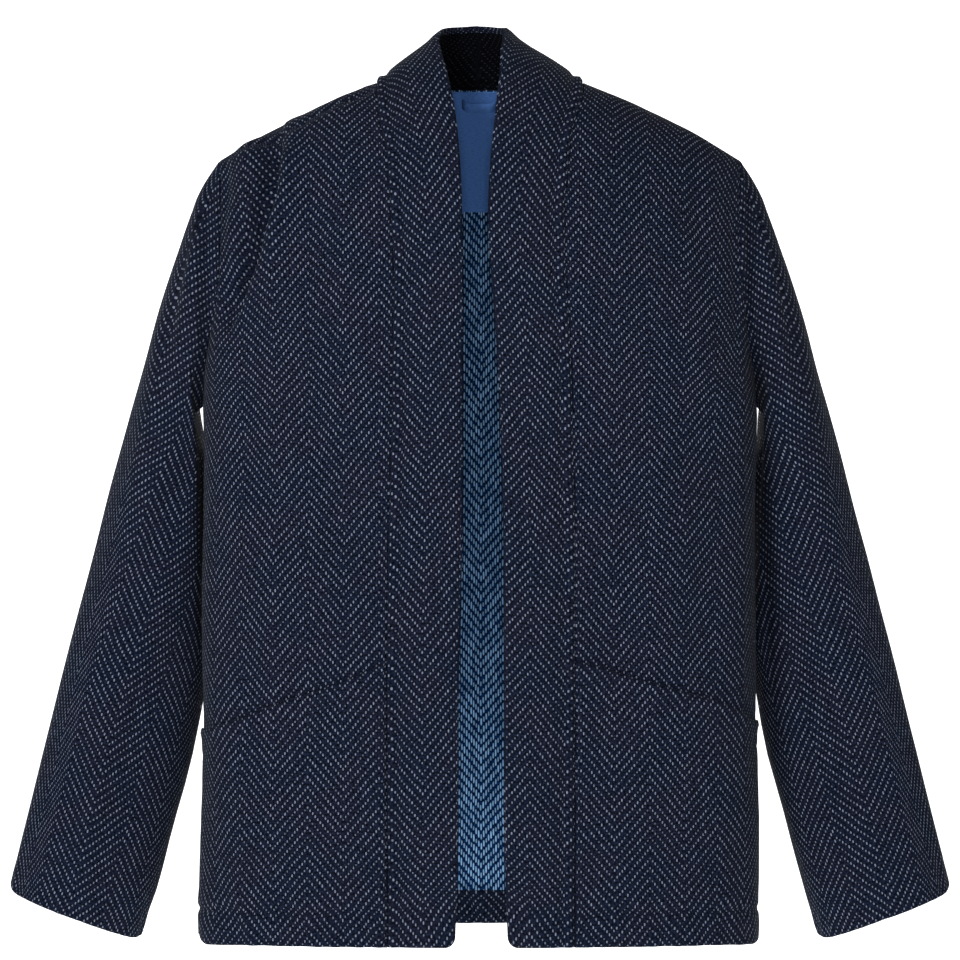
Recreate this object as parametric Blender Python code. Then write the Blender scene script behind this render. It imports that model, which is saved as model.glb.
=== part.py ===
"""Haori in its worn form: hollow body, hanging sleeves and a standing collar band.

Metres, +Z up, +X to the viewer's right, and the front faces -Y. The origin is the
middle of the neck base, level with the points where the shoulder seams end.
"left" and "right" are as seen from the front.
"""
import bpy
import numpy as np

# Cloth thicknesses and the clearance at seams
PANEL_THICK = 0.0018
HEM_THICK = 0.0042
BAND_THICK = 0.0034
POCKET_THICK = 0.0016
FACING_THICK = 0.0012
LOOP_THICK = 0.0014
SEAM_GAP = 0.0003
UNDERARM_EASE = 0.0011

# Body: half width, depths in front and behind, and how square the section is
HALF_WIDTH = 0.234
FRONT_DEPTH = 0.095
BACK_DEPTH = 0.090
SECTION_POWER = 2.8

# Shoulders: where they start and end, their slope, and the roundness over the top
NECK_HALF = 0.087
SHOULDER_END = 0.221
SHOULDER_SLOPE = 0.5
CREST_DROP = 0.190
CREST_POWER = 2.4
ARMHOLE_TURN = 0.35

# Levels down the body
NECK_BACK_Z = 0.000
FACING_Z = -0.103
FACING_HALF = 0.125
FACING_SLOPE = 0.3
UNDERARM_Z = -0.272
HEM_FOLD_Z = -0.694
HEM_Z = -0.723
CUFF_FOLD = 0.026

# Rows of the grids between those levels, and columns across each piece
YOKE_ROWS = 6
ARMHOLE_ROWS = 6
WAIST_ROWS = 9
POCKET_ROWS = 7
HEM_ROWS = 2
FRONT_COLUMNS = 10
NECK_COLUMNS = 8
BAND_COLUMNS = 5
STEP_ROW = 0.0015
NECK_SPREAD = 0.020

# Pocket mouth: distance from the middle, and its height on each side
POCKET_MOUTH_COLUMNS = ("x", "left_z", "right_z")
POCKET_MOUTH = (
    (0.070, -0.484, -0.484),
    (0.111, -0.503, -0.495),
    (0.141, -0.513, -0.505),
    (0.171, -0.523, -0.513),
    (0.197, -0.535, -0.521),
    (0.234, -0.547, -0.541),
)

# Seam between front panel and band: height, and distance from the middle
BAND_SEAM_COLUMNS = ("z", "left_x", "right_x")
BAND_SEAM = (
    (0.000, 0.0870, 0.0870),
    (-0.016, 0.0862, 0.0856),
    (-0.042, 0.0830, 0.0780),
    (-0.060, 0.0780, 0.0745),
    (-0.110, 0.0743, 0.0700),
    (-0.167, 0.0708, 0.0712),
    (-0.224, 0.0723, 0.0750),
    (-0.291, 0.0731, 0.0768),
    (-0.394, 0.0760, 0.0789),
    (-0.507, 0.0776, 0.0789),
    (-0.723, 0.0764, 0.0780),
)

# Free edge of the band by the length of seam from the shoulder; behind it is negative
FREE_EDGE_COLUMNS = ("along", "left_x", "right_x", "y", "z")
FREE_EDGE = (
    (-0.119, 0.0000, 0.0000, 0.0360, 0.0480),
    (-0.085, 0.0170, 0.0170, 0.0310, 0.0475),
    (-0.050, 0.0310, 0.0310, 0.0180, 0.0460),
    (0.000, 0.0400, 0.0360, -0.0080, 0.0400),
    (0.022, 0.0330, 0.0250, -0.0330, 0.0290),
    (0.054, 0.0245, 0.0165, -0.0640, -0.0010),
    (0.091, 0.0185, 0.0115, -0.0830, -0.0370),
    (0.125, 0.0157, 0.0078, -0.0915, -0.0740),
    (0.162, 0.0145, 0.0054, -0.0965, -0.1130),
    (0.190, 0.0142, 0.0070, -0.0980, -0.1400),
    (0.250, 0.0142, 0.0120, -0.0985, -0.1990),
    (0.330, 0.0143, 0.0169, -0.0985, -0.2790),
    (0.446, 0.0145, 0.0195, -0.0985, -0.3940),
    (0.559, 0.0178, 0.0194, -0.0985, -0.5070),
    (0.700, 0.0178, 0.0200, -0.0985, -0.6500),
    (0.775, 0.0208, 0.0232, -0.0975, -0.7230),
)

# Sleeve sections: outer point, inner point, and half the depth
SLEEVE_COLUMNS = ("out_x", "out_y", "out_z", "in_x", "in_y", "in_z", "half_depth")
SLEEVE = (
    (0.232, 0.000, -0.076, 0.2470, 0.003, -0.2750, 0.0480),
    (0.245, 0.000, -0.097, 0.2480, 0.009, -0.2850, 0.0490),
    (0.256, 0.002, -0.133, 0.2400, 0.021, -0.3020, 0.0510),
    (0.275, 0.008, -0.201, 0.2290, 0.037, -0.328, 0.0520),
    (0.293, 0.012, -0.269, 0.2260, 0.045, -0.356, 0.0510),
    (0.312, 0.015, -0.337, 0.2260, 0.050, -0.392, 0.0490),
    (0.348, 0.018, -0.473, 0.2350, 0.050, -0.497, 0.0430),
    (0.382, 0.018, -0.609, 0.2640, 0.036, -0.643, 0.0370),
    (0.397, 0.018, -0.668, 0.2850, 0.030, -0.708, 0.0340),
    (0.401, 0.018, -0.683, 0.2905, 0.030, -0.7245, 0.0335),
)
SLEEVE_BETWEEN = 2
SLEEVE_POWER = 2.25
SIDE_CLEARANCE = 0.0048

# Large folds: both ends as x and z, half width, and depth; a valley is negative
FOLD_COLUMNS = ("x0", "z0", "x1", "z1", "spread", "depth")
FRONT_FOLDS = (
    (-0.172, -0.060, -0.196, -0.180, 0.013, -0.0050),
    (-0.150, -0.070, -0.172, -0.180, 0.016, 0.0030),
    (-0.218, -0.085, -0.219, -0.200, 0.012, -0.0045),
    (-0.152, -0.235, -0.130, -0.335, 0.018, -0.0028),
    (-0.203, -0.300, -0.164, -0.380, 0.018, -0.0030),
    (-0.141, -0.360, -0.086, -0.410, 0.017, -0.0028),
    (-0.186, -0.430, -0.176, -0.500, 0.018, 0.0025),
    (0.193, -0.290, 0.092, -0.460, 0.018, -0.0032),
    (0.170, -0.345, 0.130, -0.445, 0.016, 0.0026),
    (0.216, -0.090, 0.214, -0.240, 0.014, -0.0042),
    (0.176, -0.085, 0.192, -0.190, 0.016, -0.0026),
    (-0.065, -0.637, -0.060, -0.700, 0.014, -0.0022),
)
BACK_FOLDS = (
    (-0.185, -0.090, -0.150, -0.230, 0.020, -0.0045),
    (0.180, -0.085, 0.142, -0.240, 0.020, -0.0040),
    (-0.050, -0.090, -0.020, -0.190, 0.022, -0.0025),
    (0.060, -0.110, 0.030, -0.230, 0.020, -0.0025),
    (-0.205, -0.300, -0.140, -0.400, 0.020, -0.0035),
    (0.206, -0.310, 0.120, -0.430, 0.020, -0.0035),
    (-0.100, -0.400, -0.075, -0.640, 0.026, 0.0035),
    (0.050, -0.360, 0.072, -0.660, 0.026, -0.0032),
    (0.165, -0.430, 0.160, -0.690, 0.024, 0.0030),
    (-0.180, -0.470, -0.172, -0.690, 0.022, -0.0028),
)
SLEEVE_FOLDS = (
    (0.246, -0.110, 0.268, -0.260, 0.011, -0.0030),
    (0.262, -0.250, 0.296, -0.430, 0.014, 0.0030),
    (0.246, -0.330, 0.300, -0.420, 0.015, -0.0040),
    (0.330, -0.380, 0.262, -0.470, 0.015, -0.0032),
    (0.350, -0.520, 0.292, -0.575, 0.016, -0.0030),
    (0.318, -0.560, 0.338, -0.690, 0.014, 0.0026),
)

# Loop at the back neck
LOOP_HALF = 0.015
LOOP_HEIGHT = 0.009
LOOP_STAND = 0.0075
LOOP_DROP = 0.006
LOOP_STEPS = 12

# Rise of the collar band between its two edges
BAND_CROWN = 0.0035

# How far pieces that lie on a panel stay back from its edges
FACING_INSET = 0.003
FACING_CLEARANCE = 0.0007
POCKET_INSET = 0.001

# Colours: cloth seen from a step away, and its roughness
INDIGO = (0.040, 0.052, 0.115, 1.0)
CHAMBRAY = (0.110, 0.170, 0.320, 1.0)
CLOTH_ROUGHNESS = 0.92

FINE_STEPS = 48


def column(table, names, name):
    """One named column of a table."""
    return np.array([row[names.index(name)] for row in table])


def falling(z, levels, values):
    """A value read at height z from a table that runs downwards."""
    return np.interp(-np.asarray(z), -levels, values)


def lengths_along(points):
    """Length of a line of points up to each of them."""
    return np.concatenate(([0.0], np.cumsum(np.linalg.norm(np.diff(points, axis=0), axis=1))))


def read_at(points, shares):
    """A line of points read again at shares of its length."""
    points = np.asarray(points)
    along = lengths_along(points)
    wanted = np.asarray(shares) * along[-1]
    return np.stack([np.interp(wanted, along, points[:, k]) for k in range(3)], axis=1)


def evenly_spaced(points, steps):
    """A line of points read again at equal lengths."""
    return read_at(points, np.linspace(0.0, 1.0, steps + 1))


def ridge_z(x):
    """Height of the shoulder line, which eases over the neck."""
    inside = np.maximum(NECK_HALF - np.abs(x), 0.0)
    outside = np.maximum(np.abs(x) - NECK_HALF, 0.0)
    return SHOULDER_SLOPE * (inside - inside ** 2 / (2 * NECK_HALF) - outside)


def crest(drop):
    """Share of the full depth reached at a drop below the shoulder line."""
    left = np.clip(1.0 - drop / CREST_DROP, 0.0, 1.0)
    return (1.0 - left ** CREST_POWER) ** (1.0 / CREST_POWER)


def section_depth(x):
    """Share of the full depth at x across the body."""
    share = np.clip(np.abs(x) / HALF_WIDTH, 0.0, 1.0)
    return (1.0 - share ** SECTION_POWER) ** (1.0 / SECTION_POWER)


def section_x(angle):
    """Distance from the middle at an angle round the section; 0 is the side."""
    return HALF_WIDTH * np.cos(angle) ** (2.0 / SECTION_POWER)


def section_angle(x):
    """Angle round the section at a distance from the middle."""
    return np.arccos(np.clip(np.abs(x) / HALF_WIDTH, 0.0, 1.0) ** (SECTION_POWER / 2.0))


def on_body(x, z, depth):
    """Point of the body's surface; a negative depth is the front."""
    return np.array([x, depth * crest(ridge_z(x) - z) * section_depth(x), z])


def half_width_at(y, z):
    """Half width of the body at a depth and a height."""
    depth = np.where(y < 0.0, FRONT_DEPTH, BACK_DEPTH)
    share = np.clip(np.abs(y) / depth, 0.0, 1.0)
    return HALF_WIDTH * (1.0 - share ** SECTION_POWER) ** (1.0 / SECTION_POWER)


def crest_fractions(steps, total_drop, depth):
    """Shares of a drop from the shoulder line that give rows of equal length."""
    drops = total_drop * (np.linspace(0.0, 1.0, 400) ** 2)
    profile = np.stack([np.zeros(400), depth * crest(drops), drops], axis=1)
    return evenly_spaced(profile, steps)[:, 2] / total_drop


def armhole_angle(share):
    """Section angle of the armhole's edge, from the shoulder (0) to the underarm (1)."""
    late = np.clip((share - ARMHOLE_TURN) / (1.0 - ARMHOLE_TURN), 0.0, 1.0)
    return section_angle(SHOULDER_END) * (1.0 - late ** 2)


def pocket_mouth_z(x):
    """Height of the slanted pocket mouth, also used as a row of the back."""
    side = "left_z" if x < 0 else "right_z"
    across = column(POCKET_MOUTH, POCKET_MOUTH_COLUMNS, "x")
    return np.interp(abs(x), across, column(POCKET_MOUTH, POCKET_MOUTH_COLUMNS, side))


def row_levels(depth, facing):
    """Rows of a body panel as functions of x that give a height.

    Each entry also says how much of the armhole lies above it.
    """
    shares = crest_fractions(YOKE_ROWS + ARMHOLE_ROWS, -UNDERARM_Z, depth)

    def armhole_row(share, k):
        def level(x):
            top = top_z(x, facing)
            if not facing:
                return top + (UNDERARM_Z - top) * share
            fold = FACING_Z - FACING_SLOPE * max(abs(x) - FACING_HALF, 0.0)
            if k <= YOKE_ROWS:
                return top + (fold - top) * share / shares[YOKE_ROWS]
            rest = (share - shares[YOKE_ROWS]) / (1.0 - shares[YOKE_ROWS])
            return fold + (UNDERARM_Z - fold) * rest
        return level, share

    rows = [armhole_row(share, k) for k, share in enumerate(shares)]

    def between(upper, lower, share):
        def level(x):
            high = upper(x) if callable(upper) else upper
            low = lower(x) if callable(lower) else lower
            return high + (low - high) * share
        return level, 1.0

    for k in range(1, WAIST_ROWS + 1):
        rows.append(between(UNDERARM_Z, pocket_mouth_z, k / WAIST_ROWS))
    for k in range(1, POCKET_ROWS + 1):
        rows.append(between(pocket_mouth_z, HEM_FOLD_Z + STEP_ROW, k / POCKET_ROWS))
    for k in range(HEM_ROWS + 1):
        rows.append(between(HEM_FOLD_Z, HEM_Z, k / HEM_ROWS))
    return rows


ROWS_TO_UNDERARM = YOKE_ROWS + ARMHOLE_ROWS
ROWS_TO_POCKET = ROWS_TO_UNDERARM + WAIST_ROWS
ROWS_TO_HEM_FOLD = ROWS_TO_POCKET + POCKET_ROWS + 1


def top_z(x, behind):
    """Height of a panel's top edge: the shoulder line, or the back neck inside it."""
    if behind and abs(x) < NECK_HALF:
        return NECK_BACK_Z
    return min(ridge_z(x), 0.0)


def seam_x(z, side):
    """Distance of the band's seam from the middle, at a height."""
    name = "left_x" if side < 0 else "right_x"
    return falling(z, column(BAND_SEAM, BAND_SEAM_COLUMNS, "z"),
                   column(BAND_SEAM, BAND_SEAM_COLUMNS, name))


def row_across(level, start_x, end_angle, side, depth, steps):
    """Points along one row of a panel, from start_x to an angle near the side."""
    angles = np.linspace(section_angle(start_x), end_angle, FINE_STEPS)
    xs = side * section_x(angles)
    return evenly_spaced([on_body(x, level(x), depth) for x in xs], steps)


def front_grid(side):
    """Front panel, rows from the shoulder to the hem, columns from the band outwards."""
    rows = []
    for level, share in row_levels(-FRONT_DEPTH, False):
        start = NECK_HALF
        for _ in range(4):
            start = float(seam_x(level(side * start), side))
        rows.append(row_across(level, start, float(armhole_angle(share)), side,
                               -FRONT_DEPTH, FRONT_COLUMNS))
    return np.array(rows)


def back_grid():
    """Back panel, rows from the shoulders to the hem, columns from left to right."""
    rows = []
    for k, (level, share) in enumerate(row_levels(BACK_DEPTH, True)):
        end = float(armhole_angle(share))
        start = NECK_HALF + NECK_SPREAD * (1.0 - np.exp(-k))
        right = row_across(level, start, end, 1, BACK_DEPTH, FRONT_COLUMNS)
        left = row_across(level, start, end, -1, BACK_DEPTH, FRONT_COLUMNS)
        if k == 0:
            middle = back_neck_line()
        else:
            xs = np.linspace(-start, start, FINE_STEPS)
            middle = evenly_spaced([on_body(x, level(x), BACK_DEPTH) for x in xs], NECK_COLUMNS)
        rows.append(np.vstack([left[::-1], middle[1:-1], right]))
    return np.array(rows)


def back_neck_line():
    """Back neckline, an arc from one neck point to the other on the body's surface."""
    centre = on_body(0.0, NECK_BACK_Z, BACK_DEPTH)[1]
    turns = np.linspace(0.0, np.pi, FINE_STEPS)
    points = [(-NECK_HALF * np.cos(t), centre * np.sin(t) ** 0.9, 0.0) for t in turns]
    return evenly_spaced(points, NECK_COLUMNS)


def grid_normals(grid, outward):
    """Unit normals of a grid of points, turned to the side that outward points to."""
    along = np.gradient(grid, axis=0)
    across = np.gradient(grid, axis=1)
    normals = np.cross(along, across)
    size = np.linalg.norm(normals, axis=2, keepdims=True)
    normals = normals / np.maximum(size, 1e-12)
    middle = tuple(n // 2 for n in grid.shape[:2])
    if np.dot(normals[middle], outward) < 0.0:
        normals = -normals
    return normals


def ring_normals(grid, outward):
    """Normals of a tube, whose columns close on themselves."""
    wrapped = np.concatenate([grid[:, -2:-1], grid, grid[:, 1:2]], axis=1)
    normals = grid_normals(wrapped, outward)
    return normals[:, 1:-1]


def unit(vectors):
    """Vectors at length one."""
    return vectors / np.maximum(np.linalg.norm(vectors, axis=-1, keepdims=True), 1e-12)


def fold_height(x, z, folds):
    """Height of the large folds at a place on a panel."""
    total = 0.0
    for row in folds:
        fold = dict(zip(FOLD_COLUMNS, row))
        run = np.array([fold["x1"] - fold["x0"], fold["z1"] - fold["z0"]])
        there = np.array([x - fold["x0"], z - fold["z0"]])
        share = np.clip(np.dot(there, run) / np.dot(run, run), 0.0, 1.0)
        off = np.linalg.norm(there - share * run)
        total += fold["depth"] * np.exp(-(off / fold["spread"]) ** 2)
    return total


def folded(grid, normals, folds, keep):
    """A grid moved along its normals by the share of its folds that each point keeps."""
    out = grid.copy()
    for i, j in np.ndindex(grid.shape[:2]):
        lift = fold_height(grid[i, j, 0], grid[i, j, 2], folds)
        out[i, j] += normals[i, j] * lift * keep[i, j]
    return out


def drawn_in(grid, own, shared, top=False, sides=()):
    """A grid with its seam edges drawn in by half the gap, and more at a sharp fold."""
    out = grid.copy()
    lean = np.clip(np.sum(own * shared, axis=2), 0.10, 1.0)[..., None]
    edges = [((0,), (1,))] if top else []
    edges += [((slice(None), side), (slice(None), side + (1 if side == 0 else -1)))
              for side in sides]
    for edge, neighbour in edges:
        tangent = unit(np.gradient(grid[edge], axis=0))
        inward = grid[neighbour] - grid[edge]
        inward = unit(inward - tangent * np.sum(inward * tangent, axis=1, keepdims=True))
        gap = SEAM_GAP / 2 / lean[edge]
        if sides == (0, -1) and edge != (0,):
            rows = np.arange(len(grid))[:, None] - ROWS_TO_UNDERARM
            gap = gap + UNDERARM_EASE * np.exp(-rows ** 2)
        out[edge] += inward * gap
    return out


def principled(name, colour):
    """Plain cloth material."""
    material = bpy.data.materials.new(name)
    material.use_nodes = True
    shader = material.node_tree.nodes["Principled BSDF"]
    shader.inputs["Base Color"].default_value = colour
    shader.inputs["Roughness"].default_value = CLOTH_ROUGHNESS
    shader.inputs["Metallic"].default_value = 0.0
    material.diffuse_color = colour
    return material


def skin_faces(rows, columns, offset, closed):
    """Quads of one skin of a wall."""
    faces = []
    for i in range(rows - 1):
        for j in range(columns if closed else columns - 1):
            k = (j + 1) % columns
            faces.append((offset + i * columns + j, offset + i * columns + k,
                          offset + (i + 1) * columns + k, offset + (i + 1) * columns + j))
    return faces


def cloth_wall(name, outer, inner, material, collection, closed=False):
    """A wall between two grids of points: two skins and the rims that join them."""
    if closed:
        outer, inner = outer[:, :-1], inner[:, :-1]
    rows, columns = outer.shape[:2]
    count = rows * columns
    points = np.vstack([outer.reshape(-1, 3), inner.reshape(-1, 3)])
    faces = skin_faces(rows, columns, 0, closed)
    faces += [(a, d, c, b) for a, b, c, d in skin_faces(rows, columns, count, closed)]
    top = list(range(columns))
    bottom = [(rows - 1) * columns + j for j in range(columns)]
    if closed:
        loops = [top + top[:1], (bottom + bottom[:1])[::-1]]
    else:
        down = [i * columns + columns - 1 for i in range(rows)]
        up = [i * columns for i in range(rows)][::-1]
        loops = [top[:-1] + down[:-1] + bottom[::-1][:-1] + up]
    for loop in loops:
        faces += [(b, a, a + count, b + count) for a, b in zip(loop[:-1], loop[1:])]
    mesh = bpy.data.meshes.new(name)
    mesh.from_pydata([tuple(p) for p in points], [], faces)
    mesh.materials.append(material)
    mesh.validate()
    mesh.shade_smooth()
    mesh.set_sharp_from_angle(angle=np.radians(40.0))
    piece = bpy.data.objects.new(name, mesh)
    collection.objects.link(piece)
    face_outwards(mesh)
    return piece


def face_outwards(mesh):
    """Turn the faces over if the solid they bound has a negative volume."""
    volume = 0.0
    for face in mesh.polygons:
        corners = [np.array(mesh.vertices[v].co) for v in face.vertices]
        for b, c in zip(corners[1:-1], corners[2:]):
            volume += np.dot(corners[0], np.cross(b, c))
    if volume < 0.0:
        mesh.flip_normals()


def wall_skins(grid, normals, thickness):
    """Outer and inner skins on either side of a middle surface."""
    half = np.asarray(thickness)[..., None] / 2 * normals
    return grid + half, grid - half


def panel_skins(grid, normals):
    """Skins of a body panel, whose hem is turned up inside."""
    outer = grid + normals * PANEL_THICK / 2
    depth = np.full(grid.shape[0], PANEL_THICK)
    depth[ROWS_TO_HEM_FOLD:] = HEM_THICK
    return outer, outer - normals * depth[:, None, None]


def ring_shares(hole):
    """Places round a sleeve section that follow the points of the armhole."""
    halves = (lengths_along(hole[:ROWS_TO_UNDERARM + 1]), lengths_along(hole[ROWS_TO_UNDERARM:]))
    front, behind = (half / half[-1] / 2 for half in halves)
    return np.concatenate((front, 0.5 + behind[1:]))


def sleeve_ring(row, side, shares):
    """One oval section of a sleeve, from its outer point round by the front."""
    values = dict(zip(SLEEVE_COLUMNS, row))
    outer = np.array([side * values["out_x"], values["out_y"], values["out_z"]])
    inner = np.array([side * values["in_x"], values["in_y"], values["in_z"]])
    reach = (outer - inner) / 2
    forward = np.array([0.0, -1.0, 0.0])
    forward = unit(forward - np.dot(forward, unit(reach)) * unit(reach))
    ring = []
    for turn in np.linspace(0.0, 2 * np.pi, 4 * FINE_STEPS + 1):
        cosine, sine = np.cos(turn), np.sin(turn)
        along = np.sign(cosine) * abs(cosine) ** (2 / SLEEVE_POWER)
        out = np.sign(sine) * abs(sine) ** (2 / SLEEVE_POWER)
        ring.append((outer + inner) / 2 + reach * along + forward * values["half_depth"] * out)
    return read_at(ring, shares)


def beside_body(points, side):
    """Points moved sideways, out of the body's space."""
    out = points.copy()
    limit = half_width_at(points[:, 1], points[:, 2]) + SIDE_CLEARANCE
    limit = np.where(points[:, 2] < UNDERARM_Z + 0.02, limit, SHOULDER_END + SIDE_CLEARANCE)
    out[:, 0] = side * np.maximum(side * points[:, 0], limit)
    return out


def sleeve_grid(side, armhole):
    """Sleeve rings from the armhole to the cuff, in a smooth run through the table."""
    shares = ring_shares(armhole)
    rings = [armhole] + [sleeve_ring(row, side, shares) for row in SLEEVE]
    stations = np.arange(len(rings), dtype=float)
    fine = np.linspace(0.0, stations[-1], (len(rings) - 1) * SLEEVE_BETWEEN + 1)
    grid = np.empty((len(fine), armhole.shape[0], 3))
    stack = np.array(rings)
    slopes = np.gradient(stack, axis=0)
    for n, place in enumerate(fine):
        k = min(int(place), len(rings) - 2)
        t = place - k
        grid[n] = ((2 * t ** 3 - 3 * t ** 2 + 1) * stack[k] + (t ** 3 - 2 * t ** 2 + t) * slopes[k]
                   + (3 * t ** 2 - 2 * t ** 3) * stack[k + 1] + (t ** 3 - t ** 2) * slopes[k + 1])
    for n in range(1, len(fine)):
        grid[n] = beside_body(grid[n], side)
    return grid


def with_cuff_fold(grid):
    """A sleeve grid whose last rings mark the turned-up cuff, and its wall by ring."""
    lengths = np.linalg.norm(np.diff(grid[:, 0], axis=0), axis=1)
    left = np.concatenate((np.cumsum(lengths[::-1])[::-1], [0.0]))
    fold = int(np.argmin(abs(left - CUFF_FOLD)))
    rows = [grid[n] for n in range(fold)]
    step = unit(grid[fold - 1] - grid[fold]) * STEP_ROW
    rows += [grid[fold] + step] + [grid[n] for n in range(fold, len(grid))]
    depth = np.full(len(rows), PANEL_THICK)
    depth[fold + 1:] = HEM_THICK
    return np.array(rows), depth


def free_edge(along, side):
    """Point of the band's free edge that belongs to a length of seam."""
    places = column(FREE_EDGE, FREE_EDGE_COLUMNS, "along")
    name = "left_x" if side < 0 else "right_x"
    x = np.interp(along, places, column(FREE_EDGE, FREE_EDGE_COLUMNS, name))
    y = np.interp(along, places, column(FREE_EDGE, FREE_EDGE_COLUMNS, "y"))
    z = np.interp(along, places, column(FREE_EDGE, FREE_EDGE_COLUMNS, "z"))
    return np.array([side * x, y, z])


def band_grid(left_seam, neck_seam, right_seam):
    """Collar band: rows along the seam from hem to hem, columns to the free edge."""
    seam = np.vstack([left_seam[::-1], neck_seam[1:-1], right_seam])
    lengths = np.linalg.norm(np.diff(seam, axis=0), axis=1)
    along = np.concatenate(([0.0], np.cumsum(lengths)))
    left_neck = along[len(left_seam) - 1]
    right_neck = along[len(left_seam) + NECK_COLUMNS - 1]
    middle = (left_neck + right_neck) / 2
    half = (right_neck - left_neck) / 2
    behind = -FREE_EDGE[0][0]
    edge = []
    for length in along:
        side = -1 if length < middle else 1
        past = abs(length - middle) - half
        place = past if past > 0 else past / half * behind
        edge.append(free_edge(place, side))
    edge = smooth_line(np.array(edge), 2)
    edge[0][2] = HEM_Z
    edge[-1][2] = HEM_Z
    shares = np.linspace(0.0, 1.0, BAND_COLUMNS + 1)
    grid = seam[:, None] + (edge - seam)[:, None] * shares[None, :, None]
    across = unit(edge - seam)
    lengthwise = unit(np.gradient(seam, axis=0))
    out = unit(np.cross(across, lengthwise))
    crown = BAND_CROWN * np.sin(np.pi * shares)
    return grid + out[:, None] * crown[None, :, None]


def smooth_line(points, times):
    """A line of points eased between its ends."""
    for _ in range(times):
        points[1:-1] = (points[:-2] + 2 * points[1:-1] + points[2:]) / 4
    return points


def facing_skins(grid, normals):
    """Facing inside the back neck, made from the back panel's own points."""
    columns = slice(FRONT_COLUMNS - 3, FRONT_COLUMNS + NECK_COLUMNS + 4)
    part = grid[:YOKE_ROWS + 1, columns].copy()
    part[0] += unit(part[1] - part[0]) * FACING_INSET
    turned = normals[:YOKE_ROWS + 1, columns]
    outer = part - turned * (PANEL_THICK / 2 + FACING_CLEARANCE)
    return outer, outer - turned * FACING_THICK


def pocket_skins(grid, normals):
    """Patch pocket on a front panel, made from the panel's own points."""
    part = grid[ROWS_TO_POCKET:].copy()
    part[-1] += unit(part[-2] - part[-1]) * POCKET_INSET
    part[:, 0] += unit(part[:, 1] - part[:, 0]) * POCKET_INSET
    part[:, -1] += unit(part[:, -2] - part[:, -1]) * POCKET_INSET
    turned = normals[ROWS_TO_POCKET:]
    inner = part + turned * (PANEL_THICK / 2 + SEAM_GAP)
    return inner + turned * POCKET_THICK, inner


def loop_skins(face):
    """Hanging loop: a strip across the back neck that stands off between its ends."""
    middle = face.shape[1] // 2
    down = unit(face[1, middle] - face[0, middle])
    half_width = np.linalg.norm(face[0, middle + 1] - face[0, middle])
    shares = np.linspace(-1.0, 1.0, LOOP_STEPS + 1)
    off = LOOP_STAND * np.clip(1.25 * (1.0 - shares ** 4), 0.0, 1.0)
    forward = unit(np.cross(np.array([1.0, 0.0, 0.0]), down))
    forward = forward if forward[1] < 0.0 else -forward
    top = []
    for share, lift in zip(shares, off):
        turn = share * LOOP_HALF / half_width
        nearer = face[0, middle + int(np.sign(turn))]
        place = face[0, middle] + (nearer - face[0, middle]) * abs(turn)
        top.append(place + down * LOOP_DROP + forward * (lift + SEAM_GAP + LOOP_THICK))
    top = np.array(top)
    rows = np.array([top, top + down * LOOP_HEIGHT / 2, top + down * LOOP_HEIGHT])
    return wall_skins(rows, grid_normals(rows, forward), LOOP_THICK)


ARMHOLE = slice(0, ROWS_TO_UNDERARM + 1)
NECKLINE = slice(FRONT_COLUMNS, FRONT_COLUMNS + NECK_COLUMNS + 1)


def panel_seams(values):
    """Pairs of edges that meet between the body panels, as views."""
    back, left, right = values["back"], values["front_left"], values["front_right"]
    low = slice(ROWS_TO_UNDERARM, None)
    return [
        (back[0, :FRONT_COLUMNS + 1], left[0, ::-1]),
        (back[0, FRONT_COLUMNS + NECK_COLUMNS:], right[0]),
        (back[low, 0], left[low, -1]),
        (back[low, -1], right[low, -1]),
    ]


def other_seams(values):
    """Pairs of edges that meet at the band and the armholes, as views."""
    back, band = values["back"], values["collar_band"]
    left, right = values["front_left"], values["front_right"]
    rows = left.shape[0]
    pairs = [
        (band[:rows, 0], left[::-1, 0]),
        (band[rows - 1:rows + NECK_COLUMNS, 0], back[0, NECKLINE]),
        (band[rows - 1 + NECK_COLUMNS:, 0], right[:, 0]),
    ]
    for name, front, edge in (("sleeve_left", left, 0), ("sleeve_right", right, -1)):
        hole = values[name][0]
        pairs.append((hole[:ROWS_TO_UNDERARM + 1], front[ARMHOLE, -1]))
        pairs.append((hole[ROWS_TO_UNDERARM:], back[ARMHOLE, edge][::-1]))
        pairs.append((hole[:1], hole[-1:]))
    return pairs


def share_seams(pairs):
    """One direction for both sides of each seam, so that their rims stay parallel."""
    for _ in range(12):
        for first, second in pairs:
            mean = unit(first + second)
            first[...] = mean
            second[...] = mean


def panel_normals(grids):
    """Normals of the body panels."""
    return {
        "back": grid_normals(grids["back"], (0.0, 1.0, 0.0)),
        "front_left": grid_normals(grids["front_left"], (0.0, -1.0, 0.0)),
        "front_right": grid_normals(grids["front_right"], (0.0, -1.0, 0.0)),
    }


def body_panels():
    """The three body panels as grids, with their folds."""
    grids = {"back": back_grid(), "front_left": front_grid(-1), "front_right": front_grid(1)}
    grids["back"][0, FRONT_COLUMNS] = grids["front_left"][0, 0]
    grids["back"][0, FRONT_COLUMNS + NECK_COLUMNS] = grids["front_right"][0, 0]
    normals = panel_normals(grids)
    share_seams(panel_seams(normals))
    folds = {"back": BACK_FOLDS, "front_left": FRONT_FOLDS, "front_right": FRONT_FOLDS}
    for name, grid in grids.items():
        ends = seam_easing(grid, name == "back")
        grids[name] = folded(grid, normals[name], folds[name], ends)
    return grids


def seam_easing(grid, behind):
    """Share of a fold's depth that a panel keeps: none at the seams that others share."""
    keep = np.ones(grid.shape[:2])
    keep[0] = 0.0
    keep[ROWS_TO_UNDERARM:, -1] = 0.0
    if behind:
        keep[ROWS_TO_UNDERARM:, 0] = 0.0
    return keep


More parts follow.
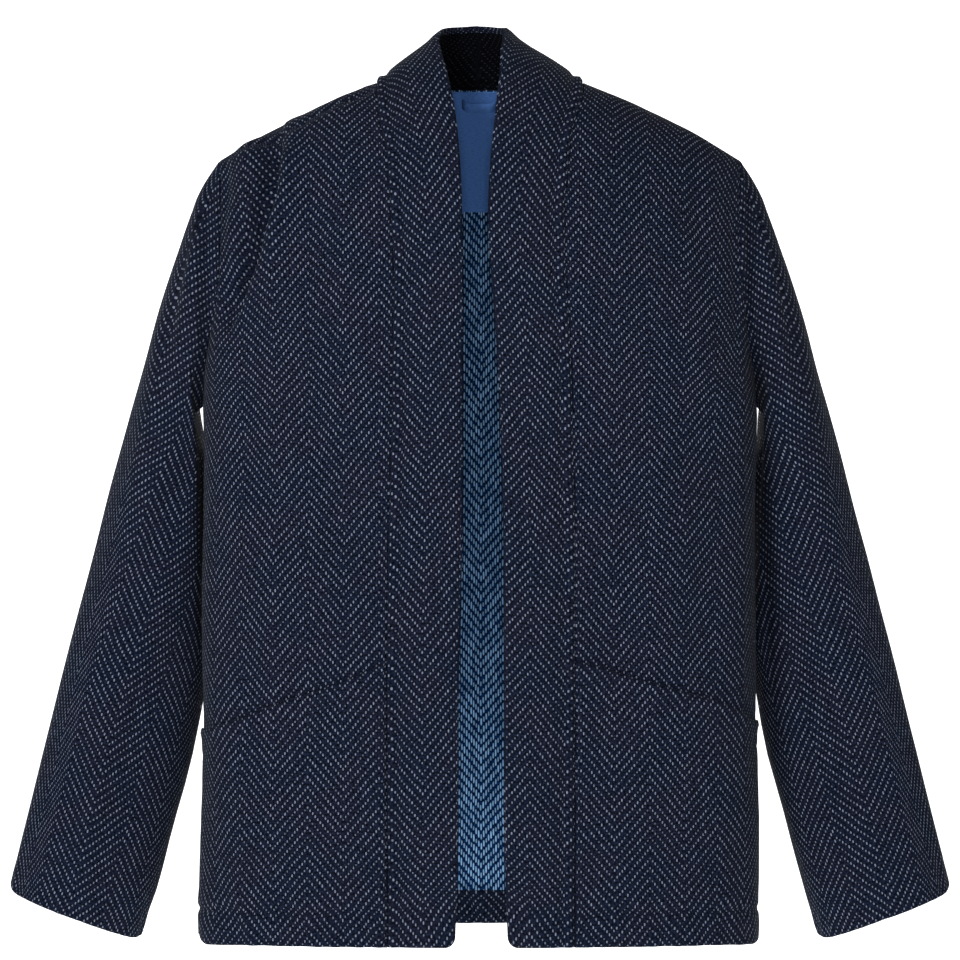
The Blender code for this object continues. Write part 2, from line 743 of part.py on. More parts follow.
def all_grids():
    """Every main piece as a grid of points, seams at the same points."""
    grids = body_panels()
    back, left, right = grids["back"], grids["front_left"], grids["front_right"]
    for name, side, front, edge in (("sleeve_left", -1, left, 0), ("sleeve_right", 1, right, -1)):
        hole = np.vstack([front[ARMHOLE, -1], back[ARMHOLE, edge][::-1][1:]])
        grid = sleeve_grid(side, hole)
        turned = ring_normals(grid, (-side, 0.0, 0.0))
        keep = np.ones(grid.shape[:2])
        keep[0] = 0.0
        mirror = np.array(SLEEVE_FOLDS) * (side, 1, side, 1, 1, 1)
        grids[name] = folded(grid, turned, mirror, keep)
    grids["collar_band"] = band_grid(left[:, 0], back[0, NECKLINE], right[:, 0])
    return grids


def all_normals(grids):
    """Normals of every main piece: its own, and the ones shared at the seams."""
    normals = panel_normals(grids)
    normals["collar_band"] = grid_normals(grids["collar_band"], (0.0, 1.0, 0.3))
    for name, side in (("sleeve_left", -1), ("sleeve_right", 1)):
        normals[name] = ring_normals(grids[name], (-side, 0.0, 0.0))
    own = {name: value.copy() for name, value in normals.items()}
    share_seams(panel_seams(normals) + other_seams(normals))
    return own, normals


def build():
    """Build every piece into one collection."""
    for thing in list(bpy.data.objects):
        bpy.data.objects.remove(thing, do_unlink=True)
    collection = bpy.data.collections.new("haori")
    bpy.context.scene.collection.children.link(collection)

    grids = all_grids()
    depths = {}
    for name in ("sleeve_left", "sleeve_right"):
        grids[name], depths[name] = with_cuff_fold(grids[name])
    own, normals = all_normals(grids)
    drawn = {}
    for name, grid in grids.items():
        tube = name.startswith("sleeve")
        band = name == "collar_band"
        sides = () if tube else (0,) if band else (0, -1)
        drawn[name] = drawn_in(grid, own[name], normals[name], not band, sides)
    skins = {name: panel_skins(drawn[name], normals[name])
             for name in ("back", "front_left", "front_right")}
    skins["collar_band"] = wall_skins(drawn["collar_band"], normals["collar_band"],
                                      np.full(drawn["collar_band"].shape[:2], BAND_THICK))
    for name, depth in depths.items():
        outer = drawn[name] + normals[name] * PANEL_THICK / 2
        skins[name] = (outer, outer - normals[name] * depth[:, None, None])
    for side in ("left", "right"):
        front = "front_" + side
        skins["pocket_" + side] = pocket_skins(grids[front], normals[front])
    skins["neck_facing"] = facing_skins(grids["back"], normals["back"])
    skins["hanger_loop"] = loop_skins(skins["neck_facing"][1])
    for name, (outer, inner) in skins.items():
        plain = name in ("neck_facing", "hanger_loop")
        material = principled(name + "_cloth", CHAMBRAY if plain else INDIGO)
        cloth_wall(name, outer, inner, material, collection, name.startswith("sleeve"))


build()
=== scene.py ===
"""Looks of the haori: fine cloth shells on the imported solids, materials, light and camera.

Metres, +Z up, +X to the viewer's right, and the front faces -Y. "left" and "right" are
as seen from the front. The shape starts from that of the solids; as_seen and drawn_in then
move parts of it a little, and small creases, seams and stitches are added.
"""
import math

import bpy
import mathutils
import numpy as np
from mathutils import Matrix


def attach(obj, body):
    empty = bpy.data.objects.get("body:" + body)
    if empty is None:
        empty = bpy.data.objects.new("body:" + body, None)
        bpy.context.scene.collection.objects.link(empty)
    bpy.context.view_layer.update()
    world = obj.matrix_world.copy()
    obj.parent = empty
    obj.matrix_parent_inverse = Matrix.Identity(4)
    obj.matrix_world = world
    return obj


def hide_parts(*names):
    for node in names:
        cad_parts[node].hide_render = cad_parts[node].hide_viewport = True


# How many times finer than the solids the cloth is
FINE = 6
FINE_DOWN_SLEEVE = 3
FINE_ACROSS_BAND = 8

# The stitch pattern, in metres of cloth
COLUMN_PITCH = 0.00212
STITCH_REPEAT = 0.00834
STITCH_STEP = 0.00248
TURN_AFTER = 14
FACE_DASH = (0.00118, 0.0020)
REVERSE_DASH = (0.00135, 0.0052)

# How the stitches stray from their columns and rows: scale of the noise, and share of a step
COLUMN_DRIFT = (28.0, 0.9)
ROW_WAVER = (70.0, 0.22)
STITCH_POWERS = (2.2, 2.6)
STITCH_LENGTHS = (0.5, 0.75)
STITCH_EDGE = (1.35, 0.65)
STITCH_DOME = (1.5, 0.0)
# Reach of the painted shade round each stitch
STITCH_SHADE = (5.0, 1.2)

# Where the zigzag turns on each piece
LEFT_PEAK_X = -0.1433
RIGHT_PEAK_X = 0.1391
RIGHT_BAND_PEAK = 0.037
SLEEVE_PEAK = 0.062
POCKET_SHIFT = 0.0031
PLAIN_PITCH = 0.0011

# Colours, linear
FACE_GROUND = ((0.0038, 0.0068, 0.0165, 1.0), (0.0056, 0.0068, 0.0160, 1.0))
FACE_THREAD = (0.150, 0.175, 0.235, 1.0)
# Painted light: the reverse's own lighter blue, made brighter still to stand in for light on the inside of
# the jacket
REVERSE_GROUND = ((0.0010, 0.0180, 0.0780, 1.0), (0.0018, 0.0200, 0.0800, 1.0))
REVERSE_THREAD = (0.260, 0.470, 0.740, 1.0)
# Painted shade: darker copies of the face colours, for the band's inside at the back neck
PAINTED_SHADE_GROUND = ((0.0012, 0.0016, 0.0026, 1.0), (0.0014, 0.0016, 0.0028, 1.0))
PAINTED_SHADE_THREAD = (0.014, 0.016, 0.022, 1.0)
# Painted light: the chambray's own blue, brightened further to stand in for light on the neck facing and loop
# inside the back
PLAIN_DARK = (0.0480, 0.1220, 0.3300, 1.0)
PLAIN_LIGHT = (0.0950, 0.2200, 0.5600, 1.0)

# Surface of the cloths: noises as scale, detail and roughness, bumps as strength and depth
WEAVE = (1500.0, 2.0, 0.7)
PATCHES = (22.0, 3.0)
MOTTLE = (520.0, 2.0, 0.6)
STITCHED_BUMP = (0.55, 0.0006)
PLAIN_BUMP = (0.4, 0.0003)
SHEEN = 0.02
STITCHED_GLOSS = 0.03
PLAIN_GLOSS = 0.05

# Pieces that are treated alike, and the way that each piece's face looks at its middle
PANELS = ("back", "front_left", "front_right")
SLEEVES = ("sleeve_left", "sleeve_right")
OUTWARD = {"back": (0.0, 1.0, 0.0), "front_left": (0.0, -1.0, 0.0), "front_right": (0.0, -1.0, 0.0),
           "collar_band": (0.0, 1.0, 0.3), "sleeve_left": (1.0, 0.0, 0.0), "sleeve_right": (-1.0, 0.0, 0.0)}

# Length of band on each side of its middle whose inside is made darker, in place of the
# deep shadow that the photo shows there, and the columns at its edge that stay as they are
NECK_SHADE = 0.150
ROLLED_COLUMNS = 5

# Relief of hems and seams
HEM_PUCKER = 0.0028
HEM_GROOVE = 0.0020
BAND_ROPE = 0.0019
CORNER = 0.009
HEM_CORNER = (0.007, 0.007)
CUFF_CORNER = (0.008, 0.006)
SLEEVE_EASING = (30, 90)
MOUTH_HEM = 0.023

# Ridges and grooves: height, distance from the edge or seam, and width
BAND_SIDE = (0.0007, 0.006, 0.006)
ABOVE_MOUTH = (0.0013, 0.0035, 0.0030)
SIDE_DRAGS = (0.0006, 0.007, 0.009)
SHOULDER_GROOVE = (0.0020, 0.0, 0.0022)
SHOULDER_ROLL = (0.0010, -0.006, 0.004)
ROPE = (BAND_ROPE, 0.0042, 0.0034)
BESIDE_ROPE = (0.0014, 0.0105, 0.0036)
FREE_ROLL = (0.0008, 0.006, 0.005)
FREE_WAVES = (0.0004, 0.004, 0.012)
ABOVE_CUFF = (HEM_PUCKER, 0.011, 0.014)
ARMHOLE_DRAGS = (0.0009, 0.010, 0.012)
MOUTH_PUCKERS = (0.0007, 0.010, 0.012)
MOUTH_STITCHES = (0.0008, MOUTH_HEM, 0.0018)
MOUTH_EDGE = (0.0014, 0.003, 0.004)
POCKET_EDGE = (0.0010, 0.004, 0.004)

# Slow waves of each cloth: length and height
BODY_WAVES = (0.075, 0.0011)
BAND_WAVES = (0.08, 0.0006)
SLEEVE_WAVES = (0.07, 0.0008)

# Distance over which relief fades out at a seam
SIDE_EASING = 0.005
TOP_EASING = 0.008
FOLD_DEPTH = 0.0150
FOLD_SPREAD = (0.0110, 0.0036)
FOLD_RIDGES = ((0.28, 0.010, 0.008), (0.22, -0.028, 0.010))

# How far the outline is moved from the solid's
SLEEVE_FROM = 0.242
CUFF_FROM = -0.62
INNER_SEAM_TUCK = 0.0032
SHOULDER_RISE = 0.0043
SIDE_HEM_DROP = 0.0045
CUFF_DROP = 0.0045
COLLAR_RISE = 0.0050
COLLAR_PULL = ((-0.078, 0.0), (-0.058, 0.0025), (-0.028, 0.0097), (0.0, 0.0130), (0.019, 0.006), (0.030, 0.0))
RIGHT_SINK = 0.018
LEFT_SINK = 0.005
SLEEVE_MIDDLE_Y = 0.018

# Where those moves are felt: a middle and a reach, or only a reach
SHOULDER_AT = (0.158, 0.055)
SHOULDER_FADE = 0.06
COLLAR_REACH = 0.042
COLLAR_TOP = 0.045
HEM_FADE = 0.05
CUFF_FADE = 0.08
CUFF_OUTWARDS = 0.25
INNER_SEAM_AT = (-0.65, 0.05)
INNER_SEAM_FADE = 0.06
SLEEVE_AXIS = (0.326, -0.64, -0.27)
RIGHT_SINK_AT = ((0.233, 0.015), (-0.32, 0.26))
LEFT_SINK_AT = ((-0.229, 0.007), (-0.15, 0.10))
SINK_LIMIT = 0.6

# Shoulder seam on the left front: distance from the middle, and height
SHOULDER_LINE_COLUMNS = ("x", "z")
SHOULDER_LINE = (
    (0.0870, -0.0090),
    (0.1180, -0.0210),
    (0.1370, -0.0310),
    (0.1640, -0.0450),
    (0.1810, -0.0530),
    (0.2000, -0.0580),
    (0.2210, -0.0660),
)

# Edge of the deep fold on the left front, from the shoulder seam down
FOLD_LINE = ((-0.051, -0.1690), (-0.069, -0.1703), (-0.100, -0.1727), (-0.128, -0.1811),
             (-0.153, -0.1877), (-0.175, -0.1961), (-0.193, -0.2036), (-0.215, -0.2110))

# Small creases: both ends as x and z, half width, depth, and how much they wander
CREASE_COLUMNS = ("x0", "z0", "x1", "z1", "spread", "depth", "bow")
FRONT_CREASES = (
    (-0.199, -0.072, -0.194, -0.092, 0.0040, -0.0016, 0.000),
    (-0.214, -0.080, -0.213, -0.215, 0.0045, -0.0028, 0.001),
    (-0.150, -0.240, -0.128, -0.340, 0.0080, -0.0016, 0.003),
    (-0.200, -0.305, -0.165, -0.380, 0.0080, -0.0018, 0.002),
    (-0.140, -0.362, -0.088, -0.408, 0.0070, -0.0016, 0.002),
    (-0.185, -0.448, -0.170, -0.470, 0.0070, 0.0014, 0.000),
    (-0.120, -0.120, -0.105, -0.260, 0.0110, 0.0012, 0.003),
    (-0.095, -0.250, -0.110, -0.420, 0.0120, -0.0010, 0.003),
    (0.190, -0.292, 0.094, -0.458, 0.0075, -0.0018, 0.003),
    (0.172, -0.348, 0.132, -0.445, 0.0075, 0.0016, 0.002),
    (0.214, -0.092, 0.213, -0.235, 0.0045, -0.0024, 0.001),
    (0.178, -0.090, 0.194, -0.185, 0.0060, -0.0016, 0.002),
    (0.120, -0.140, 0.100, -0.290, 0.0110, 0.0012, 0.003),
    (0.190, -0.390, 0.178, -0.500, 0.0090, -0.0014, 0.002),
)
BACK_CREASES = (
    (-0.180, -0.092, -0.152, -0.222, 0.0080, -0.0022, 0.003),
    (0.178, -0.088, 0.145, -0.232, 0.0080, -0.0020, 0.003),
    (-0.205, -0.085, -0.208, -0.210, 0.0050, -0.0024, 0.001),
    (0.205, -0.085, 0.208, -0.215, 0.0050, -0.0024, 0.001),
    (-0.200, -0.305, -0.142, -0.398, 0.0085, -0.0018, 0.002),
    (0.200, -0.312, 0.122, -0.428, 0.0085, -0.0018, 0.003),
    (-0.060, -0.110, -0.040, -0.250, 0.0110, 0.0013, 0.003),
    (0.080, -0.130, 0.060, -0.300, 0.0110, -0.0013, 0.003),
    (-0.100, -0.440, -0.082, -0.620, 0.0120, 0.0014, 0.003),
    (0.052, -0.400, 0.070, -0.640, 0.0120, -0.0014, 0.003),
    (0.166, -0.450, 0.160, -0.660, 0.0110, 0.0013, 0.002),
)
SLEEVE_CREASES = (
    (0.244, -0.110, 0.262, -0.240, 0.0060, -0.0022, 0.002),
    (0.262, -0.150, 0.285, -0.330, 0.0070, 0.0016, 0.002),
    (0.246, -0.335, 0.298, -0.425, 0.0070, -0.0024, 0.003),
    (0.322, -0.390, 0.270, -0.462, 0.0070, -0.0020, 0.002),
    (0.300, -0.450, 0.318, -0.560, 0.0080, 0.0014, 0.002),
    (0.345, -0.525, 0.296, -0.572, 0.0075, -0.0018, 0.002),
    (0.318, -0.570, 0.336, -0.680, 0.0070, 0.0014, 0.001),
)
BAND_CREASES = (
    (-0.064, -0.637, -0.061, -0.698, 0.0065, -0.0014, 0.000),
    (0.050, -0.300, 0.040, -0.390, 0.0080, -0.0010, 0.000),
    (-0.036, -0.430, -0.050, -0.520, 0.0080, 0.0010, 0.000),
)

# Camera and light
VIEW_HEIGHT = -0.3366
CAMERA_DISTANCE = 3.4
LENS = 150.0
KEY = ((-1.5, -2.7, 1.6), (0.8, 0.8), 78.0)
FILL = ((0.0, -3.5, VIEW_HEIGHT), (0.22, 0.22), 26.0)
SKY_STRENGTH = 0.16
PAPER_GLOW = 0.90
PAPER_WHITE = (0.9, 0.9, 0.9, 1.0)
FLOOR_Z = -1.30
SWEEP_Y = 5.0
SWEEP_RADIUS = 0.8
SWEEP_HALF_WIDTH = 7.0

# Cloth thicknesses and the clearance at seams
PANEL_THICK = 0.0018
HEM_THICK = 0.0042
BAND_THICK = 0.0034
POCKET_THICK = 0.0016
FACING_THICK = 0.0012
LOOP_THICK = 0.0014
SEAM_GAP = 0.0003

# Body: half width, depths in front and behind, and how square the section is
HALF_WIDTH = 0.234
FRONT_DEPTH = 0.095
BACK_DEPTH = 0.090
SECTION_POWER = 2.8

# Shoulders: where they start and end, their slope, and the roundness over the top
NECK_HALF = 0.087
SHOULDER_END = 0.221
SHOULDER_SLOPE = 0.5
CREST_DROP = 0.190
CREST_POWER = 2.4
ARMHOLE_TURN = 0.35

# Levels down the body
NECK_BACK_Z = 0.000
FACING_Z = -0.103
FACING_HALF = 0.125
FACING_SLOPE = 0.3
UNDERARM_Z = -0.272
HEM_FOLD_Z = -0.694
HEM_Z = -0.723
CUFF_FOLD = 0.026

# Rows of the grids between those levels, and columns across each piece
YOKE_ROWS = 6
ARMHOLE_ROWS = 6
WAIST_ROWS = 9
POCKET_ROWS = 7
HEM_ROWS = 2
FRONT_COLUMNS = 10
NECK_COLUMNS = 8
BAND_COLUMNS = 5
NECK_SPREAD = 0.020

# Pocket mouth: distance from the middle, and its height on each side
POCKET_MOUTH_COLUMNS = ("x", "left_z", "right_z")
POCKET_MOUTH = (
    (0.070, -0.484, -0.484),
    (0.111, -0.503, -0.495),
    (0.141, -0.513, -0.505),
    (0.171, -0.523, -0.513),
    (0.197, -0.535, -0.521),
    (0.234, -0.547, -0.541),
)

# Seam between front panel and band: height, and distance from the middle
BAND_SEAM_COLUMNS = ("z", "left_x", "right_x")
BAND_SEAM = (
    (0.000, 0.0870, 0.0870),
    (-0.016, 0.0862, 0.0856),
    (-0.042, 0.0830, 0.0780),
    (-0.060, 0.0780, 0.0745),
    (-0.110, 0.0743, 0.0700),
    (-0.167, 0.0708, 0.0712),
    (-0.224, 0.0723, 0.0750),
    (-0.291, 0.0731, 0.0768),
    (-0.394, 0.0760, 0.0789),
    (-0.507, 0.0776, 0.0789),
    (-0.723, 0.0764, 0.0780),
)

# Free edge of the band by the length of seam from the shoulder; behind it is negative
FREE_EDGE_COLUMNS = ("along", "left_x", "right_x", "y", "z")
FREE_EDGE = (
    (-0.119, 0.0000, 0.0000, 0.0360, 0.0480),
    (-0.085, 0.0170, 0.0170, 0.0310, 0.0475),
    (-0.050, 0.0310, 0.0310, 0.0180, 0.0460),
    (0.000, 0.0400, 0.0360, -0.0080, 0.0400),
    (0.022, 0.0330, 0.0250, -0.0330, 0.0290),
    (0.054, 0.0245, 0.0165, -0.0640, -0.0010),
    (0.091, 0.0185, 0.0115, -0.0830, -0.0370),
    (0.125, 0.0157, 0.0078, -0.0915, -0.0740),
    (0.162, 0.0145, 0.0054, -0.0965, -0.1130),
    (0.190, 0.0142, 0.0070, -0.0980, -0.1400),
    (0.250, 0.0142, 0.0120, -0.0985, -0.1990),
    (0.330, 0.0143, 0.0169, -0.0985, -0.2790),
    (0.446, 0.0145, 0.0195, -0.0985, -0.3940),
    (0.559, 0.0178, 0.0194, -0.0985, -0.5070),
    (0.700, 0.0178, 0.0200, -0.0985, -0.6500),
    (0.775, 0.0208, 0.0232, -0.0975, -0.7230),
)

# Sleeve sections: outer point, inner point, and half the depth
SLEEVE_COLUMNS = ("out_x", "out_y", "out_z", "in_x", "in_y", "in_z", "half_depth")
SLEEVE = (
    (0.232, 0.000, -0.076, 0.2470, 0.003, -0.2750, 0.0480),
    (0.245, 0.000, -0.097, 0.2480, 0.009, -0.2850, 0.0490),
    (0.256, 0.002, -0.133, 0.2400, 0.021, -0.3020, 0.0510),
    (0.275, 0.008, -0.201, 0.2290, 0.037, -0.328, 0.0520),
    (0.293, 0.012, -0.269, 0.2260, 0.045, -0.356, 0.0510),
    (0.312, 0.015, -0.337, 0.2260, 0.050, -0.392, 0.0490),
    (0.348, 0.018, -0.473, 0.2350, 0.050, -0.497, 0.0430),
    (0.382, 0.018, -0.609, 0.2640, 0.036, -0.643, 0.0370),
    (0.397, 0.018, -0.668, 0.2850, 0.030, -0.708, 0.0340),
    (0.401, 0.018, -0.683, 0.2905, 0.030, -0.7245, 0.0335),
)
SLEEVE_BETWEEN = 2
SLEEVE_POWER = 2.25
SIDE_CLEARANCE = 0.0048

# Large folds: both ends as x and z, half width, and depth; a valley is negative
FOLD_COLUMNS = ("x0", "z0", "x1", "z1", "spread", "depth")
FRONT_FOLDS = (
    (-0.172, -0.060, -0.196, -0.180, 0.013, -0.0050),
    (-0.150, -0.070, -0.172, -0.180, 0.016, 0.0030),
    (-0.218, -0.085, -0.219, -0.200, 0.012, -0.0045),
    (-0.152, -0.235, -0.130, -0.335, 0.018, -0.0028),
    (-0.203, -0.300, -0.164, -0.380, 0.018, -0.0030),
    (-0.141, -0.360, -0.086, -0.410, 0.017, -0.0028),
    (-0.186, -0.430, -0.176, -0.500, 0.018, 0.0025),
    (0.193, -0.290, 0.092, -0.460, 0.018, -0.0032),
    (0.170, -0.345, 0.130, -0.445, 0.016, 0.0026),
    (0.216, -0.090, 0.214, -0.240, 0.014, -0.0042),
    (0.176, -0.085, 0.192, -0.190, 0.016, -0.0026),
    (-0.065, -0.637, -0.060, -0.700, 0.014, -0.0022),
)
BACK_FOLDS = (
    (-0.185, -0.090, -0.150, -0.230, 0.020, -0.0045),
    (0.180, -0.085, 0.142, -0.240, 0.020, -0.0040),
    (-0.050, -0.090, -0.020, -0.190, 0.022, -0.0025),
    (0.060, -0.110, 0.030, -0.230, 0.020, -0.0025),
    (-0.205, -0.300, -0.140, -0.400, 0.020, -0.0035),
    (0.206, -0.310, 0.120, -0.430, 0.020, -0.0035),
    (-0.100, -0.400, -0.075, -0.640, 0.026, 0.0035),
    (0.050, -0.360, 0.072, -0.660, 0.026, -0.0032),
    (0.165, -0.430, 0.160, -0.690, 0.024, 0.0030),
    (-0.180, -0.470, -0.172, -0.690, 0.022, -0.0028),
)
SLEEVE_FOLDS = (
    (0.246, -0.110, 0.268, -0.260, 0.011, -0.0030),
    (0.262, -0.250, 0.296, -0.430, 0.014, 0.0030),
    (0.246, -0.330, 0.300, -0.420, 0.015, -0.0040),
    (0.330, -0.380, 0.262, -0.470, 0.015, -0.0032),
    (0.350, -0.520, 0.292, -0.575, 0.016, -0.0030),
    (0.318, -0.560, 0.338, -0.690, 0.014, 0.0026),
)

# Loop at the back neck
LOOP_HALF = 0.015
LOOP_HEIGHT = 0.009
LOOP_STAND = 0.0075
LOOP_DROP = 0.006
LOOP_STEPS = 12

# Rise of the collar band between its two edges
BAND_CROWN = 0.0035

# Gap between the facing and the panel that it lies on
FACING_CLEARANCE = 0.0007

# Points that a line is first drawn with, before it is read again at even steps
FINE_STEPS = 48


def column(table, names, name):
    """One named column of a table."""
    return np.array([row[names.index(name)] for row in table])


def falling(z, levels, values):
    """A value read at height z from a table that runs downwards."""
    return np.interp(-np.asarray(z), -levels, values)


def lengths_along(points):
    """Length of a line of points up to each of them."""
    return np.concatenate(([0.0], np.cumsum(np.linalg.norm(np.diff(points, axis=0), axis=1))))


def read_at(points, shares):
    """A line of points read again at shares of its length."""
    points = np.asarray(points)
    along = lengths_along(points)
    wanted = np.asarray(shares) * along[-1]
    return np.stack([np.interp(wanted, along, points[:, k]) for k in range(3)], axis=1)


def evenly_spaced(points, steps):
    """A line of points read again at equal lengths."""
    return read_at(points, np.linspace(0.0, 1.0, steps + 1))


def ridge_z(x):
    """Height of the shoulder line, which eases over the neck."""
    inside = np.maximum(NECK_HALF - np.abs(x), 0.0)
    outside = np.maximum(np.abs(x) - NECK_HALF, 0.0)
    return SHOULDER_SLOPE * (inside - inside ** 2 / (2 * NECK_HALF) - outside)


def crest(drop):
    """Share of the full depth reached at a drop below the shoulder line."""
    left = np.clip(1.0 - drop / CREST_DROP, 0.0, 1.0)
    return (1.0 - left ** CREST_POWER) ** (1.0 / CREST_POWER)


def section_depth(x):
    """Share of the full depth at x across the body."""
    share = np.clip(np.abs(x) / HALF_WIDTH, 0.0, 1.0)
    return (1.0 - share ** SECTION_POWER) ** (1.0 / SECTION_POWER)


def section_x(angle):
    """Distance from the middle at an angle round the section; 0 is the side."""
    return HALF_WIDTH * np.cos(angle) ** (2.0 / SECTION_POWER)


def section_angle(x):
    """Angle round the section at a distance from the middle."""
    return np.arccos(np.clip(np.abs(x) / HALF_WIDTH, 0.0, 1.0) ** (SECTION_POWER / 2.0))


def on_body(x, z, depth):
    """Point of the body's surface; a negative depth is the front."""
    return np.array([x, depth * crest(ridge_z(x) - z) * section_depth(x), z])


def half_width_at(y):
    """Half width of the body at a depth."""
    depth = np.where(y < 0.0, FRONT_DEPTH, BACK_DEPTH)
    share = np.clip(np.abs(y) / depth, 0.0, 1.0)
    return HALF_WIDTH * (1.0 - share ** SECTION_POWER) ** (1.0 / SECTION_POWER)


def crest_fractions(steps, total_drop, depth):
    """Shares of a drop from the shoulder line that give rows of equal length."""
    drops = total_drop * (np.linspace(0.0, 1.0, 400) ** 2)
    profile = np.stack([np.zeros(400), depth * crest(drops), drops], axis=1)
    return evenly_spaced(profile, steps)[:, 2] / total_drop


def armhole_angle(share):
    """Section angle of the armhole's edge, from the shoulder (0) to the underarm (1)."""
    late = np.clip((share - ARMHOLE_TURN) / (1.0 - ARMHOLE_TURN), 0.0, 1.0)
    return section_angle(SHOULDER_END) * (1.0 - late ** 2)


def pocket_mouth_z(x):
    """Height of the slanted pocket mouth, also used as a row of the back."""
    side = "left_z" if x < 0 else "right_z"
    across = column(POCKET_MOUTH, POCKET_MOUTH_COLUMNS, "x")
    return np.interp(abs(x), across, column(POCKET_MOUTH, POCKET_MOUTH_COLUMNS, side))


def row_levels(depth, facing):
    """Rows of a body panel as functions of x that give a height.

    Each entry also says how much of the armhole lies above it.
    """
    shares = crest_fractions(YOKE_ROWS + ARMHOLE_ROWS, -UNDERARM_Z, depth)

    def armhole_row(share, k):
        def level(x):
            top = top_z(x, facing)
            if not facing:
                return top + (UNDERARM_Z - top) * share
            fold = FACING_Z - FACING_SLOPE * max(abs(x) - FACING_HALF, 0.0)
            if k <= YOKE_ROWS:
                return top + (fold - top) * share / shares[YOKE_ROWS]
            rest = (share - shares[YOKE_ROWS]) / (1.0 - shares[YOKE_ROWS])
            return fold + (UNDERARM_Z - fold) * rest
        return level, share

    rows = [armhole_row(share, k) for k, share in enumerate(shares)]

    def between(upper, lower, share):
        def level(x):
            high = upper(x) if callable(upper) else upper
            low = lower(x) if callable(lower) else lower
            return high + (low - high) * share
        return level, 1.0

    for k in range(1, WAIST_ROWS + 1):
        rows.append(between(UNDERARM_Z, pocket_mouth_z, k / WAIST_ROWS))
    for k in range(1, POCKET_ROWS + 1):
        rows.append(between(pocket_mouth_z, HEM_FOLD_Z, k / POCKET_ROWS))
    for k in range(1, HEM_ROWS + 1):
        rows.append(between(HEM_FOLD_Z, HEM_Z, k / HEM_ROWS))
    return rows


ROWS_TO_UNDERARM = YOKE_ROWS + ARMHOLE_ROWS
ROWS_TO_POCKET = ROWS_TO_UNDERARM + WAIST_ROWS
ROWS_TO_HEM_FOLD = ROWS_TO_POCKET + POCKET_ROWS
ARMHOLE = slice(0, ROWS_TO_UNDERARM + 1)
NECKLINE = slice(FRONT_COLUMNS, FRONT_COLUMNS + NECK_COLUMNS + 1)


def top_z(x, behind):
    """Height of a panel's top edge: the shoulder line, or the back neck inside it."""
    if behind and abs(x) < NECK_HALF:
        return NECK_BACK_Z
    return min(ridge_z(x), 0.0)


def seam_x(z, side):
    """Distance of the band's seam from the middle, at a height."""
    name = "left_x" if side < 0 else "right_x"
    return falling(z, column(BAND_SEAM, BAND_SEAM_COLUMNS, "z"),
                   column(BAND_SEAM, BAND_SEAM_COLUMNS, name))


def row_across(level, start_x, end_angle, side, depth, steps):
    """Points along one row of a panel, from start_x to an angle near the side."""
    angles = np.linspace(section_angle(start_x), end_angle, FINE_STEPS)
    xs = side * section_x(angles)
    return evenly_spaced([on_body(x, level(x), depth) for x in xs], steps)


def front_grid(side):
    """Front panel, rows from the shoulder to the hem, columns from the band outwards."""
    rows = []
    for level, share in row_levels(-FRONT_DEPTH, False):
        start = NECK_HALF
        for _ in range(4):
            start = float(seam_x(level(side * start), side))
        rows.append(row_across(level, start, float(armhole_angle(share)), side,
                               -FRONT_DEPTH, FRONT_COLUMNS))
    return np.array(rows)


def back_grid():
    """Back panel, rows from the shoulders to the hem, columns from left to right."""
    rows = []
    for k, (level, share) in enumerate(row_levels(BACK_DEPTH, True)):
        end = float(armhole_angle(share))
        start = NECK_HALF + NECK_SPREAD * (1.0 - np.exp(-k))
        right = row_across(level, start, end, 1, BACK_DEPTH, FRONT_COLUMNS)
        left = row_across(level, start, end, -1, BACK_DEPTH, FRONT_COLUMNS)
        if k == 0:
            middle = back_neck_line()
        else:
            xs = np.linspace(-start, start, FINE_STEPS)
            middle = evenly_spaced([on_body(x, level(x), BACK_DEPTH) for x in xs], NECK_COLUMNS)
        rows.append(np.vstack([left[::-1], middle[1:-1], right]))
    return np.array(rows)


def back_neck_line():
    """Back neckline, an arc from one neck point to the other on the body's surface."""
    centre = on_body(0.0, NECK_BACK_Z, BACK_DEPTH)[1]
    turns = np.linspace(0.0, np.pi, FINE_STEPS)
    points = [(-NECK_HALF * np.cos(t), centre * np.sin(t) ** 0.9, 0.0) for t in turns]
    return evenly_spaced(points, NECK_COLUMNS)


def grid_normals(grid, outward):
    """Unit normals of a grid of points, turned to the side that outward points to."""
    along = np.gradient(grid, axis=0)
    across = np.gradient(grid, axis=1)
    normals = np.cross(along, across)
    size = np.linalg.norm(normals, axis=2, keepdims=True)
    normals = normals / np.maximum(size, 1e-12)
    middle = tuple(n // 2 for n in grid.shape[:2])
    if np.dot(normals[middle], outward) < 0.0:
        normals = -normals
    return normals


def ring_normals(grid, outward):
    """Normals of a tube, whose columns close on themselves."""
    wrapped = np.concatenate([grid[:, -2:-1], grid, grid[:, 1:2]], axis=1)
    normals = grid_normals(wrapped, outward)
    return normals[:, 1:-1]


def unit(vectors):
    """Vectors at length one."""
    return vectors / np.maximum(np.linalg.norm(vectors, axis=-1, keepdims=True), 1e-12)


def fold_height(x, z, folds):
    """Height of the large folds at places on a panel."""
    total = np.zeros_like(x)
    for row in folds:
        fold = dict(zip(FOLD_COLUMNS, row))
        distance = capsule(x, z, fold)[0]
        total += fold["depth"] * np.exp(-(distance / fold["spread"]) ** 2)
    return total


def folded(grid, normals, folds, keep):
    """A grid moved along its normals by the share of its folds that each point keeps."""
    lift = fold_height(grid[..., 0], grid[..., 2], folds) * keep
    return grid + normals * lift[..., None]


def wall_skins(grid, normals, thickness):
    """Outer and inner skins on either side of a middle surface."""
    half = np.asarray(thickness)[..., None] / 2 * normals
    return grid + half, grid - half


